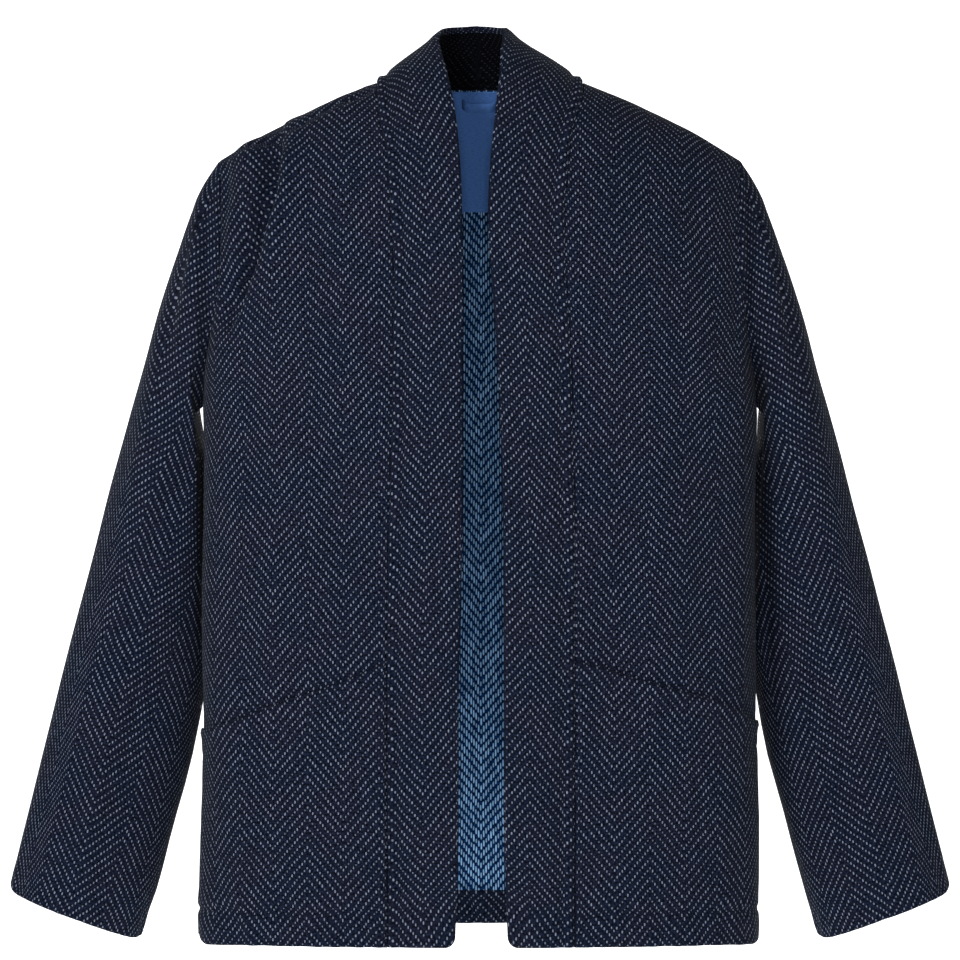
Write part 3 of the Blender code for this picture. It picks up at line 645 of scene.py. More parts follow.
def ring_shares(hole):
    """Places round a sleeve section that follow the points of the armhole."""
    halves = (lengths_along(hole[:ROWS_TO_UNDERARM + 1]), lengths_along(hole[ROWS_TO_UNDERARM:]))
    front, behind = (half / half[-1] / 2 for half in halves)
    return np.concatenate((front, 0.5 + behind[1:]))


def sleeve_ring(row, side, shares):
    """One oval section of a sleeve, from its outer point round by the front."""
    values = dict(zip(SLEEVE_COLUMNS, row))
    outer = np.array([side * values["out_x"], values["out_y"], values["out_z"]])
    inner = np.array([side * values["in_x"], values["in_y"], values["in_z"]])
    reach = (outer - inner) / 2
    forward = np.array([0.0, -1.0, 0.0])
    forward = unit(forward - np.dot(forward, unit(reach)) * unit(reach))
    ring = []
    for turn in np.linspace(0.0, 2 * np.pi, 4 * FINE_STEPS + 1):
        cosine, sine = np.cos(turn), np.sin(turn)
        along = np.sign(cosine) * abs(cosine) ** (2 / SLEEVE_POWER)
        out = np.sign(sine) * abs(sine) ** (2 / SLEEVE_POWER)
        ring.append((outer + inner) / 2 + reach * along + forward * values["half_depth"] * out)
    return read_at(ring, shares)


def beside_body(points, side):
    """Points moved sideways, out of the body's space."""
    out = points.copy()
    limit = half_width_at(points[..., 1]) + SIDE_CLEARANCE
    limit = np.where(points[..., 2] < UNDERARM_Z + 0.02, limit, SHOULDER_END + SIDE_CLEARANCE)
    out[..., 0] = side * np.maximum(side * points[..., 0], limit)
    return out


def sleeve_grid(side, armhole):
    """Sleeve rings from the armhole to the cuff, in a smooth run through the table."""
    shares = ring_shares(armhole)
    rings = np.array([armhole] + [sleeve_ring(row, side, shares) for row in SLEEVE])
    grid = smooth_between(rings, SLEEVE_BETWEEN)
    grid[1:] = beside_body(grid[1:], side)
    return grid


def free_edge(along, side):
    """Point of the band's free edge that belongs to a length of seam."""
    places = column(FREE_EDGE, FREE_EDGE_COLUMNS, "along")
    names = ("left_x" if side < 0 else "right_x", "y", "z")
    x, y, z = (np.interp(along, places, column(FREE_EDGE, FREE_EDGE_COLUMNS, name)) for name in names)
    return np.array([side * x, y, z])


def band_grid(left_seam, neck_seam, right_seam):
    """Collar band: rows along the seam from hem to hem, columns to the free edge."""
    seam = np.vstack([left_seam[::-1], neck_seam[1:-1], right_seam])
    along = lengths_along(seam)
    left_neck = along[len(left_seam) - 1]
    right_neck = along[len(left_seam) + NECK_COLUMNS - 1]
    middle = (left_neck + right_neck) / 2
    half = (right_neck - left_neck) / 2
    behind = -FREE_EDGE[0][0]
    edge = []
    for length in along:
        side = -1 if length < middle else 1
        past = abs(length - middle) - half
        place = past if past > 0 else past / half * behind
        edge.append(free_edge(place, side))
    edge = smooth_line(np.array(edge), 2)
    edge[0][2] = HEM_Z
    edge[-1][2] = HEM_Z
    shares = np.linspace(0.0, 1.0, BAND_COLUMNS + 1)
    grid = seam[:, None] + (edge - seam)[:, None] * shares[None, :, None]
    across = unit(edge - seam)
    lengthwise = unit(np.gradient(seam, axis=0))
    out = unit(np.cross(across, lengthwise))
    crown = BAND_CROWN * np.sin(np.pi * shares)
    return grid + out[:, None] * crown[None, :, None]


def smooth_line(points, times):
    """A line of points eased between its ends."""
    for _ in range(times):
        points[1:-1] = (points[:-2] + 2 * points[1:-1] + points[2:]) / 4
    return points


def loop_skins(face):
    """Hanging loop: a strip across the back neck that stands off between its ends."""
    middle = face.shape[1] // 2
    down = unit(face[1, middle] - face[0, middle])
    half_width = np.linalg.norm(face[0, middle + 1] - face[0, middle])
    shares = np.linspace(-1.0, 1.0, LOOP_STEPS + 1)
    off = LOOP_STAND * np.clip(1.25 * (1.0 - shares ** 4), 0.0, 1.0)
    forward = unit(np.cross(np.array([1.0, 0.0, 0.0]), down))
    forward = forward if forward[1] < 0.0 else -forward
    top = []
    for share, lift in zip(shares, off):
        turn = share * LOOP_HALF / half_width
        nearer = face[0, middle + int(np.sign(turn))]
        place = face[0, middle] + (nearer - face[0, middle]) * abs(turn)
        top.append(place + down * LOOP_DROP + forward * (lift + SEAM_GAP + LOOP_THICK))
    top = np.array(top)
    rows = np.array([top, top + down * LOOP_HEIGHT / 2, top + down * LOOP_HEIGHT])
    return wall_skins(rows, grid_normals(rows, forward), LOOP_THICK)


def panel_seams(values, finer=1):
    """Pairs of edges that meet between the body panels, as views."""
    back, left, right = values["back"], values["front_left"], values["front_right"]
    low = slice(ROWS_TO_UNDERARM * finer, None)
    return [
        (back[0, :FRONT_COLUMNS * finer + 1], left[0, ::-1]),
        (back[0, (FRONT_COLUMNS + NECK_COLUMNS) * finer:], right[0]),
        (back[low, 0], left[low, -1]),
        (back[low, -1], right[low, -1]),
    ]


def share_seams(pairs):
    """One direction for both sides of each seam, so that their rims stay parallel."""
    for _ in range(12):
        for first, second in pairs:
            mean = unit(first + second)
            first[...] = mean
            second[...] = mean


def piece_normals(grids):
    """Each piece's own normals."""
    return {name: (ring_normals if name in SLEEVES else grid_normals)(grid, OUTWARD[name])
            for name, grid in grids.items()}


def body_panels(with_folds=True):
    """The three body panels as grids, with or without their folds."""
    grids = {"back": back_grid(), "front_left": front_grid(-1), "front_right": front_grid(1)}
    grids["back"][0, FRONT_COLUMNS] = grids["front_left"][0, 0]
    grids["back"][0, FRONT_COLUMNS + NECK_COLUMNS] = grids["front_right"][0, 0]
    normals = piece_normals(grids)
    share_seams(panel_seams(normals))
    folds = {"back": BACK_FOLDS, "front_left": FRONT_FOLDS, "front_right": FRONT_FOLDS}
    for name, grid in grids.items() if with_folds else ():
        ends = seam_easing(grid, name == "back")
        grids[name] = folded(grid, normals[name], folds[name], ends)
    return grids


def seam_easing(grid, behind):
    """Share of a fold's depth that a panel keeps: none at the seams that others share."""
    keep = np.ones(grid.shape[:2])
    keep[0] = 0.0
    keep[ROWS_TO_UNDERARM:, -1] = 0.0
    if behind:
        keep[ROWS_TO_UNDERARM:, 0] = 0.0
    return keep


def smooth_between(points, steps, closed=False):
    """Points of a grid's first axis read on a smooth curve, with steps for each gap."""
    if closed:
        ring = points[:-1]
        slopes = (np.roll(ring, -1, axis=0) - np.roll(ring, 1, axis=0)) / 2
        slopes = np.concatenate([slopes, slopes[:1]])
    else:
        slopes = np.gradient(points, axis=0)
    places = np.arange((len(points) - 1) * steps + 1) / steps
    start = np.minimum(places.astype(int), len(points) - 2)
    t = (places - start).reshape((-1,) + (1,) * (points.ndim - 1))
    return ((2 * t ** 3 - 3 * t ** 2 + 1) * points[start] + (t ** 3 - 2 * t ** 2 + t) * slopes[start]
            + (3 * t ** 2 - 2 * t ** 3) * points[start + 1] + (t ** 3 - t ** 2) * slopes[start + 1])


def refined(grid, down, across, closed=False):
    """A grid with more rows and columns on the same smooth surface."""
    finer = smooth_between(grid, down)
    return np.swapaxes(smooth_between(np.swapaxes(finer, 0, 1), across, closed), 0, 1)


def pulled_rows(grid, target, reach):
    """A grid whose first row is moved to a target line, easing away over reach rows."""
    keep = np.exp(-(np.arange(len(grid)) / reach) ** 2)
    return grid + keep[:, None, None] * (target - grid[0])[None]


def pulled_columns(grid, target, reach):
    """The same for a grid's first column."""
    return np.swapaxes(pulled_rows(np.swapaxes(grid, 0, 1), target, reach), 0, 1)


FINE_UNDERARM = ROWS_TO_UNDERARM * FINE
FINE_POCKET = ROWS_TO_POCKET * FINE
FINE_HEM_FOLD = ROWS_TO_HEM_FOLD * FINE
FINE_FRONT = FRONT_COLUMNS * FINE
FINE_NECK_END = (FRONT_COLUMNS + NECK_COLUMNS) * FINE
FINE_ARMHOLE = slice(0, FINE_UNDERARM + 1)
FINE_NECKLINE = slice(FINE_FRONT, FINE_NECK_END + 1)


def eased_rows(grid, reach, times):
    """A grid whose rows below the first are evened out, less so further down."""
    out = grid.copy()
    keep = np.exp(-(np.arange(1, len(grid) - 1) / reach) ** 4)[:, None, None]
    for _ in range(times):
        out[1:-1] += keep * ((out[:-2] + out[2:]) / 2 - out[1:-1]) / 2
    return out


def fine_panels(coarse):
    """The body panels at the fine spacing, with the same points along each seam."""
    grids = {name: refined(coarse[name], FINE, FINE) for name in PANELS}
    left, right, back = grids["front_left"], grids["front_right"], grids["back"]
    neck = smooth_between(coarse["back"][0, NECKLINE], FINE)
    top = np.vstack([left[0, ::-1], neck[1:-1], right[0]])
    back = pulled_rows(back, top, FINE)
    for step, front in ((1, left), (-1, right)):
        turned = back[:, ::step]
        side = turned[:, 0].copy()
        side[FINE_UNDERARM:] = front[FINE_UNDERARM:, -1]
        back = pulled_columns(turned, side, FINE)[:, ::step]
    grids["back"] = back
    return grids


def fine_grids():
    """Every main piece at the fine spacing."""
    coarse = body_panels()
    grids = fine_panels(coarse)
    left, right, back = grids["front_left"], grids["front_right"], grids["back"]
    for name, side, front, edge in (("sleeve_left", -1, "front_left", 0),
                                    ("sleeve_right", 1, "front_right", -1)):
        hole = np.vstack([coarse[front][ARMHOLE, -1], coarse["back"][ARMHOLE, edge][::-1][1:]])
        grid = sleeve_grid(side, hole)
        turned = ring_normals(grid, OUTWARD[name])
        keep = np.ones(grid.shape[:2])
        keep[0] = 0.0
        grid = folded(grid, turned, np.array(SLEEVE_FOLDS) * (side, 1, side, 1, 1, 1), keep)
        grid = refined(grid, FINE_DOWN_SLEEVE, FINE, True)
        edge_line = np.vstack([grids[front][FINE_ARMHOLE, -1], back[FINE_ARMHOLE, edge][::-1][1:]])
        grids[name] = eased_rows(pulled_rows(grid, edge_line, FINE), *SLEEVE_EASING)
    band = band_grid(coarse["front_left"][:, 0], coarse["back"][0, NECKLINE],
                     coarse["front_right"][:, 0])
    seam = np.vstack([left[::-1, 0], back[0, FINE_NECKLINE][1:-1], right[:, 0]])
    band = pulled_columns(refined(band, FINE, FINE_ACROSS_BAND), seam, FINE)
    grids["collar_band"] = drawn_in(band)
    return {name: as_seen(grid) for name, grid in grids.items()}


def as_seen(grid):
    """Points moved a few millimetres, where the outline shows more than the solid has."""
    x, y, z = (grid[..., k].copy() for k in range(3))
    far = np.abs(x)
    body, high = far < SLEEVE_FROM, np.clip(z / COLLAR_TOP, 0.0, 1.0)
    rise = SHOULDER_RISE * bump(far, *SHOULDER_AT, 4) * bump(ridge_z(x), z, SHOULDER_FADE)
    rise += COLLAR_RISE * bump(x, 0.0, COLLAR_REACH) * high ** 2
    rise -= SIDE_HEM_DROP * body * np.clip(far / HALF_WIDTH, 0, 1) ** 8 * bump(z, HEM_Z, HEM_FADE)
    cuff = CUFF_DROP * ~body * np.clip((CUFF_FROM - z) / CUFF_FADE, 0.0, 1.0)
    centre = SLEEVE_AXIS[0] + SLEEVE_AXIS[2] * (z - SLEEVE_AXIS[1])
    inner_side = np.clip((centre - far) / INNER_SEAM_FADE, 0.0, 1.0) * ~body
    tuck = INNER_SEAM_TUCK * bump(z, *INNER_SEAM_AT) * inner_side
    sink = np.where(x > 0, RIGHT_SINK * bump(x, *RIGHT_SINK_AT[0]) * bump(z, *RIGHT_SINK_AT[1], 6),
                    LEFT_SINK * bump(x, *LEFT_SINK_AT[0]) * bump(z, *LEFT_SINK_AT[1], 4))
    sink = np.minimum(sink, SINK_LIMIT * np.maximum(SLEEVE_MIDDLE_Y - y, 0.0))
    out = grid.copy()
    out[..., 0] += np.sign(x) * (CUFF_OUTWARDS * cuff + tuck)
    out[..., 1] += sink * (far > SHOULDER_END + 0.001) * (ridge_z(x) - z > 0)
    out[..., 2] += rise - cuff
    return out


def drawn_in(band):
    """The collar band with its right free edge nearer to the middle beside the neck."""
    edge = band[:, -1]
    pull = np.interp(edge[:, 1], column(COLLAR_PULL, ("y", "x"), "y"), column(COLLAR_PULL, ("y", "x"), "x"))
    pull = pull * (edge[:, 0] > 0) * (edge[:, 2] > -0.05)
    share = np.linspace(0.0, 1.0, band.shape[1]) ** 1.5
    out = band.copy()
    out[..., 0] -= pull[:, None] * share[None]
    return out


def fine_seams(values):
    """Pairs of edges that meet, as views of the fine arrays."""
    back, band = values["back"], values["collar_band"]
    left, right = values["front_left"], values["front_right"]
    rows = left.shape[0]
    neck = FINE_NECK_END - FINE_FRONT
    pairs = panel_seams(values, FINE) + [
        (band[:rows, 0], left[::-1, 0]),
        (band[rows - 1:rows + neck, 0], back[0, FINE_NECKLINE]),
        (band[rows - 1 + neck:, 0], right[:, 0]),
    ]
    for name, front, edge in (("sleeve_left", left, 0), ("sleeve_right", right, -1)):
        hole = values[name][0]
        pairs.append((hole[:FINE_UNDERARM + 1], front[FINE_ARMHOLE, -1]))
        pairs.append((hole[FINE_UNDERARM:], back[FINE_ARMHOLE, edge][::-1]))
        pairs.append((hole[:1], hole[-1:]))
    return pairs


def fine_normals(grids):
    """Normals of the fine grids: each piece's own, and the ones shared at the seams."""
    normals = piece_normals(grids)
    own = {name: value.copy() for name, value in normals.items()}
    share_seams(fine_seams(normals))
    return own, normals


def panel_cloth(grid, depth, peak_x):
    """Cloth coordinates of a body panel: along the section, and up the body."""
    angles = np.linspace(0.0, np.pi / 2, 600)
    section = np.stack([section_x(angles), depth * np.sin(angles) ** (2 / SECTION_POWER),
                        0 * angles], axis=1)
    arc = lengths_along(section)
    arc = arc[-1] - arc
    x, y, z = grid[..., 0], grid[..., 1], grid[..., 2]
    full = np.maximum(crest(ridge_z(x) - z), 0.05) * depth
    turn = np.arctan2(np.clip(np.abs(y / full), 0, 1) ** (SECTION_POWER / 2),
                      np.clip(np.abs(x) / HALF_WIDTH, 0, 1) ** (SECTION_POWER / 2))
    across = np.sign(x) * np.interp(turn, angles, arc)
    start = np.interp(section_angle(abs(peak_x)), angles, arc) * np.sign(peak_x)
    steps = np.linalg.norm(np.diff(grid[:FINE_UNDERARM + 1], axis=0), axis=2)
    along = z.copy()
    above = np.cumsum(steps[::-1], axis=0)[::-1]
    along[:FINE_UNDERARM] = z[FINE_UNDERARM] + above
    return np.stack([across - start, along], axis=2)


def shoulder_line(x):
    """Height of the left shoulder seam."""
    return np.interp(np.abs(x), column(SHOULDER_LINE, SHOULDER_LINE_COLUMNS, "x"),
                     column(SHOULDER_LINE, SHOULDER_LINE_COLUMNS, "z"))


def over_the_shoulder(grid, cloth):
    """Cloth coordinates of the left front, whose cloth above the shoulder seam is the back's."""
    above = grid[..., 2] > shoulder_line(grid[..., 0])
    out = cloth.copy()
    out[..., 1] = np.where(above, -cloth[..., 1], cloth[..., 1])
    return out


def sleeve_cloth(grid, side, peak):
    """Cloth coordinates of a sleeve, for the front half and the back half.

    The columns run straight along the sleeve. A point's place round it comes from how far
    in it lies, square to that line, so that they stay even up to the armhole.
    """
    half = grid.shape[1] // 2
    axis = unit(grid[-1, 0] - grid[len(grid) // 4, 0])
    outward = np.array([-axis[2] * side, 0.0, axis[0] * side])
    along = -np.sum(grid * axis, axis=2)
    reach = np.sum(grid * outward, axis=2)
    levels = np.linspace(along.min(), along.max(), 240)
    outer = np.interp(levels, along[::-1, 0], reach[::-1, 0])
    start = int(np.argmax(along[:, half]))
    lower = np.maximum.accumulate(along[start:, half][::-1])
    inner = np.interp(levels, lower, reach[start:, half][::-1])
    width = outer - inner
    width = np.where(levels > along[start, half], np.interp(along[start, half], levels, width), width)
    for _ in range(60):
        width[1:-1] = (width[:-2] + 2 * width[1:-1] + width[2:]) / 4
    straight = np.maximum(reach[-1, 0] - outer, 0.0)
    turns = np.linspace(0.0, np.pi, 400)
    depth = SLEEVE[4][6] / width[len(levels) // 2] * 2
    oval = np.stack([np.sign(np.cos(turns)) * np.abs(np.cos(turns)) ** (2 / SLEEVE_POWER),
                     depth * np.sin(turns) ** (2 / SLEEVE_POWER), 0 * turns], axis=1)
    here = np.interp(along, levels, width)
    share = np.clip((np.interp(along, levels, outer) - reach) / here, 0.0, 1.0)
    round_it = np.interp(share, (1 - oval[:, 0]) / 2, lengths_along(oval)) * here / 2
    near = np.clip((share - 0.05) / 0.15, 0.0, 1.0)
    moved = np.interp(along, levels, straight)
    front = near * round_it + (1 - near) * edge_distance(grid, 1, 0) + moved
    behind = near * round_it + (1 - near) * edge_distance(grid, 1, -1) + moved
    return np.stack([front - peak, along], axis=2), np.stack([-behind - peak, along], axis=2)


def band_cloth(grid, left_peak, right_peak):
    """Cloth coordinates of the band: from its seam outwards, and down to both hems."""
    steps = np.linalg.norm(np.diff(grid, axis=1), axis=2)
    across = np.concatenate([np.zeros((len(grid), 1)), np.cumsum(steps, axis=1)], axis=1)
    along = lengths_along(grid[:, 0])
    along = -np.abs(along - along[-1] / 2)
    half = len(grid) // 2
    peak = np.where(np.arange(len(grid)) < half, left_peak, right_peak)
    return np.stack([across - peak[:, None], np.repeat(along[:, None], grid.shape[1], 1)], axis=2)


def capsule(x, z, row):
    """Distance from a straight crease, and the share of its length where it is nearest."""
    run = np.array([row["x1"] - row["x0"], row["z1"] - row["z0"]])
    share = ((x - row["x0"]) * run[0] + (z - row["z0"]) * run[1]) / np.dot(run, run)
    share = np.clip(share, 0.0, 1.0)
    off = (x - row["x0"] - share * run[0]) * -run[1] + (z - row["z0"] - share * run[1]) * run[0]
    distance = np.hypot(x - row["x0"] - share * run[0], z - row["z0"] - share * run[1])
    return distance * np.sign(off + 1e-12), share


def creases(x, z, table):
    """Soft troughs and ridges, deepest in the middle, steeper on one side."""
    total = np.zeros_like(x)
    for values in table:
        row = dict(zip(CREASE_COLUMNS, values))
        distance, share = capsule(x + row["bow"] * np.sin(40 * z), z, row)
        spread = row["spread"] * np.where(distance > 0, 1.35, 0.75)
        total += row["depth"] * np.exp(-(distance / spread) ** 2) * (0.35 + 0.65 * np.sin(np.pi * share))
    return total


def deep_fold(x, z):
    """A fold whose left side sinks slowly under its right side, which stands up steeply."""
    levels = column(FOLD_LINE, ("z", "x"), "z")[::-1]
    off = x - np.interp(z, levels, column(FOLD_LINE, ("z", "x"), "x")[::-1])
    share = np.clip((z - levels[0]) / (levels[-1] - levels[0]), 0.0, 1.0)
    size = np.where(z < 0.02, np.clip(4.5 * share, 0, 1) * np.clip(9.0 * (1 - share) + 0.25, 0, 1), 0)
    size *= (z > levels[0]) * (x < 0)
    spread = np.where(off < 0, *FOLD_SPREAD)
    raised = sum(ridge(off, shape) for shape in FOLD_RIDGES)
    return FOLD_DEPTH * size * (raised - bump(off, 0.0, spread))


def undulation(u, v, seed, wavelength, height):
    """Slow uneven rise and fall of cloth, from a few crossing waves."""
    rng = np.random.default_rng(seed)
    total = np.zeros_like(u)
    for _ in range(7):
        turn = rng.uniform(0, 2 * np.pi)
        length = wavelength * rng.uniform(0.7, 1.6)
        phase = rng.uniform(0, 2 * np.pi)
        total += np.sin(2 * np.pi * (u * np.cos(turn) + v * np.sin(turn)) / length + phase)
    return height * total / 3.0


def puckers(along, seed, spacing):
    """Uneven little rises along a seam, from 0 to 1, spaced by hand-like steps."""
    rng = np.random.default_rng(seed)
    low, high = float(np.min(along)), float(np.max(along))
    total = np.zeros_like(along)
    place = low
    while place < high:
        width = spacing * rng.uniform(0.28, 0.5)
        total += rng.uniform(0.35, 1.0) * np.exp(-((along - place) / width) ** 2)
        place += spacing * rng.uniform(0.6, 1.5)
    return total


def bump(distance, centre, width, power=2):
    """A soft rise from 0 to 1 round a distance, flatter on top with a higher power."""
    return np.exp(-((distance - centre) / width) ** power)


def ridge(distance, shape):
    """A soft ridge, from its height, the distance of its middle and its width."""
    height, centre, width = shape
    return height * bump(distance, centre, width)


def edge_distance(grid, axis, end):
    """Distance of every point from one edge of its grid."""
    steps = np.linalg.norm(np.diff(grid, axis=axis), axis=2)
    shape = list(grid.shape[:2])
    shape[axis] = 1
    if end == 0:
        return np.concatenate([np.zeros(shape), np.cumsum(steps, axis=axis)], axis=axis)
    back = np.flip(np.cumsum(np.flip(steps, axis), axis=axis), axis)
    return np.concatenate([back, np.zeros(shape)], axis=axis)


def body_relief(grid, cloth, name, seed):
    """Seams, puckers and small creases of a body panel."""
    x, z = grid[..., 0], grid[..., 2]
    u, v = cloth[..., 0], cloth[..., 1]
    table = BACK_CREASES if name == "back" else FRONT_CREASES
    total = creases(x, z, table) + undulation(u, 0.4 * v, seed, *BODY_WAVES)
    hem = edge_distance(grid, 0, -1)
    total += hem_relief(hem, x, v, seed)
    side = edge_distance(grid, 1, -1)
    total += side_relief(side, v, seed + 1)
    if name == "back":
        total += side_relief(edge_distance(grid, 1, 0), v, seed + 2)
    else:
        seam = edge_distance(grid, 1, 0)
        rise = puckers(v + 0.6 * seam, seed + 3, 0.013)
        total += rise * ridge(seam, BAND_SIDE)
        total += shoulder_seam(x, z, name)
        mouth = np.vectorize(pocket_mouth_z)(x)
        total -= ridge(z - mouth, ABOVE_MOUTH)
        if name == "front_left":
            total += deep_fold(x, z)
    return total * edge_easing(grid)


def edge_easing(grid):
    """None of the relief at a seam, and all of it a few millimetres away."""
    keep = 1 - np.exp(-(edge_distance(grid, 1, -1) / SIDE_EASING) ** 2)
    keep = keep * (1 - np.exp(-(edge_distance(grid, 1, 0) / SIDE_EASING) ** 2))
    return keep * (1 - np.exp(-(edge_distance(grid, 0, 0) / TOP_EASING) ** 2))


def hem_relief(hem, across, along, seed):
    """Sunk stitch line above a turned-up hem, with puckers running down to the edge."""
    rise = puckers(across + 0.35 * along, seed + 5, 0.015) - 0.45
    fold = HEM_FOLD_Z - HEM_Z
    inside = np.exp(-((hem - 0.45 * fold) / (0.52 * fold)) ** 2)
    above = 0.5 * bump(hem, fold + 0.007, 0.008)
    groove = bump(hem, fold, 0.0030)
    return HEM_PUCKER * rise * (inside + above) - HEM_GROOVE * groove


def side_relief(distance, along, seed):
    """Short drags that run into a side or armhole seam."""
    rise = puckers(along + 0.4 * distance, seed, 0.022) - 0.4
    return rise * ridge(distance, SIDE_DRAGS)


def shoulder_seam(x, z, name):
    """The shoulder seam, a sunk line just in front of the ridge."""
    if name != "front_left":
        return 0.0
    line = shoulder_line(x)
    return ridge(z - line, SHOULDER_ROLL) - ridge(z - line, SHOULDER_GROOVE)


def band_relief(grid, cloth, seed):
    """Roped ridge beside the band's seam, and a soft roll at its folded edge."""
    u, v = cloth[..., 0], cloth[..., 1]
    seam = edge_distance(grid, 1, 0)
    free = edge_distance(grid, 1, -1)
    rope = puckers(v - 0.9 * seam, seed, 0.009)
    total = (0.55 + 0.7 * rope) * ridge(seam, ROPE)
    total -= ridge(seam, BESIDE_ROPE)
    total += ridge(free, FREE_ROLL)
    total += (puckers(v + 0.3 * free, seed + 1, 0.03) - 0.4) * ridge(free, FREE_WAVES)
    total += undulation(u, v, seed + 2, *BAND_WAVES)
    total += creases(grid[..., 0], grid[..., 2], BAND_CREASES) * (grid[..., 1] < 0)
    return total * (1 - np.exp(-(seam / 0.003) ** 2))


def sleeve_relief(grid, cloth, side, seed):
    """Cuff stitching with its puckers, the armhole's drags and small creases."""
    u, v = cloth[..., 0], cloth[..., 1]
    x, z = side * grid[..., 0], grid[..., 2]
    facing = np.where(grid[..., 1] < SLEEVE_MIDDLE_Y, 1.0, -0.6)
    total = creases(x, z, SLEEVE_CREASES) * facing
    wrap = np.sin(np.pi * np.linspace(0.0, 1.0, grid.shape[1])) ** 0.5
    total += undulation(u, v, seed, *SLEEVE_WAVES) * wrap
    cuff = edge_distance(grid, 0, -1)
    rise = (puckers(u + 0.3 * cuff, seed + 1, 0.014) - 0.45) * wrap
    total += rise * ridge(cuff, ABOVE_CUFF)
    total += 0.5 * HEM_PUCKER * rise * bump(cuff, CUFF_FOLD + 0.006, 0.008)
    total -= HEM_GROOVE * bump(cuff, CUFF_FOLD, 0.0018)
    top = edge_distance(grid, 0, 0)
    drags = (puckers(u, seed + 2, 0.024) - 0.4) * wrap
    total += drags * ridge(top, ARMHOLE_DRAGS)
    return total * (1 - np.exp(-(top / 0.006) ** 2))


def pocket_relief(grid, cloth, seed):
    """Pocket mouth: its turned hem, the stitch line below it and the puckers between."""
    mouth = edge_distance(grid, 0, 0)
    u = cloth[..., 0]
    rise = puckers(u + 0.2 * mouth, seed, 0.012) - 0.45
    total = rise * ridge(mouth, MOUTH_PUCKERS)
    total -= ridge(mouth, MOUTH_STITCHES)
    total += ridge(mouth, MOUTH_EDGE)
    inner = edge_distance(grid, 1, 0)
    total += ridge(inner, POCKET_EDGE) * np.clip(mouth / 0.05, 0, 1)
    return total


def towards(grid, edge, neighbour):
    """Unit directions from an edge of a grid to the line beside it."""
    return unit(grid[neighbour] - grid[edge])


def round_corner(grid, first, second, radius):
    """Square corner of a sheet drawn in to a quarter circle.

    first and second are the edges that meet there, as an axis and an end of the grid.
    """
    p = edge_distance(grid, *first)
    q = edge_distance(grid, *second)
    a = np.clip(1 - p / radius, 0.0, 1.0)
    b = np.clip(1 - q / radius, 0.0, 1.0)
    inward_p = edge_inward(grid, *first)
    inward_q = edge_inward(grid, *second)
    shift_p = radius * a * (1 - np.sqrt(1 - b ** 2 / 2))
    shift_q = radius * b * (1 - np.sqrt(1 - a ** 2 / 2))
    return grid + inward_p * shift_p[..., None] + inward_q * shift_q[..., None]


def edge_inward(grid, axis, end):
    """Unit directions that lead away from an edge of a grid."""
    along = np.gradient(grid, axis=axis)
    return unit(along if end == 0 else -along)


def raised_ends(grid, across, reach, radius):
    """A hem whose edge rises where it turns round the side: a share of each row's last points."""
    hem = edge_distance(grid, 0, -1)
    side = np.clip(1 - across / reach, 0.0, 1.0)
    rise = radius * (1 - np.sqrt(1 - side ** 2)) * np.clip(1 - hem / (3 * radius), 0.0, 1.0)
    return grid + edge_inward(grid, 0, -1) * rise[..., None]


def rounded_skin(skin, closed, amount):
    """A skin whose outermost points are drawn in, so that the rim can be round."""
    out = skin.copy()
    out[0] += towards(skin, 0, 1) * amount
    out[-1] += towards(skin, -1, -2) * amount
    if not closed:
        out[:, 0] += towards(skin, (slice(None), 0), (slice(None), 1)) * amount
        out[:, -1] += towards(skin, (slice(None), -1), (slice(None), -2)) * amount
    return out


def cell_corners(rows, columns, closed, offset):
    """Vertex numbers of each cell's corners, and the grid places that they stand for."""
    across = columns if closed else columns - 1
    i, j = np.meshgrid(np.arange(rows - 1), np.arange(across), indexing="ij")
    i, j = i.ravel(), j.ravel()
    k = (j + 1) % columns
    corners = np.stack([i * columns + j, i * columns + k,
                        (i + 1) * columns + k, (i + 1) * columns + j], axis=1) + offset
    places = np.stack([np.stack([i, j], 1), np.stack([i, j + 1], 1),
                       np.stack([i + 1, j + 1], 1), np.stack([i + 1, j], 1)], axis=1)
    return corners, places


def border_loops(rows, columns, closed):
    """Border of a grid as lists of row and column places, in order."""
    last = columns if closed else columns - 1
    if closed:
        return [[(0, j) for j in range(last + 1)], [(rows - 1, j) for j in range(last, -1, -1)]]
    loop = [(0, j) for j in range(last)] + [(i, last) for i in range(rows - 1)]
    loop += [(rows - 1, j) for j in range(last, 0, -1)] + [(i, 0) for i in range(rows - 1, -1, -1)]
    return [loop]


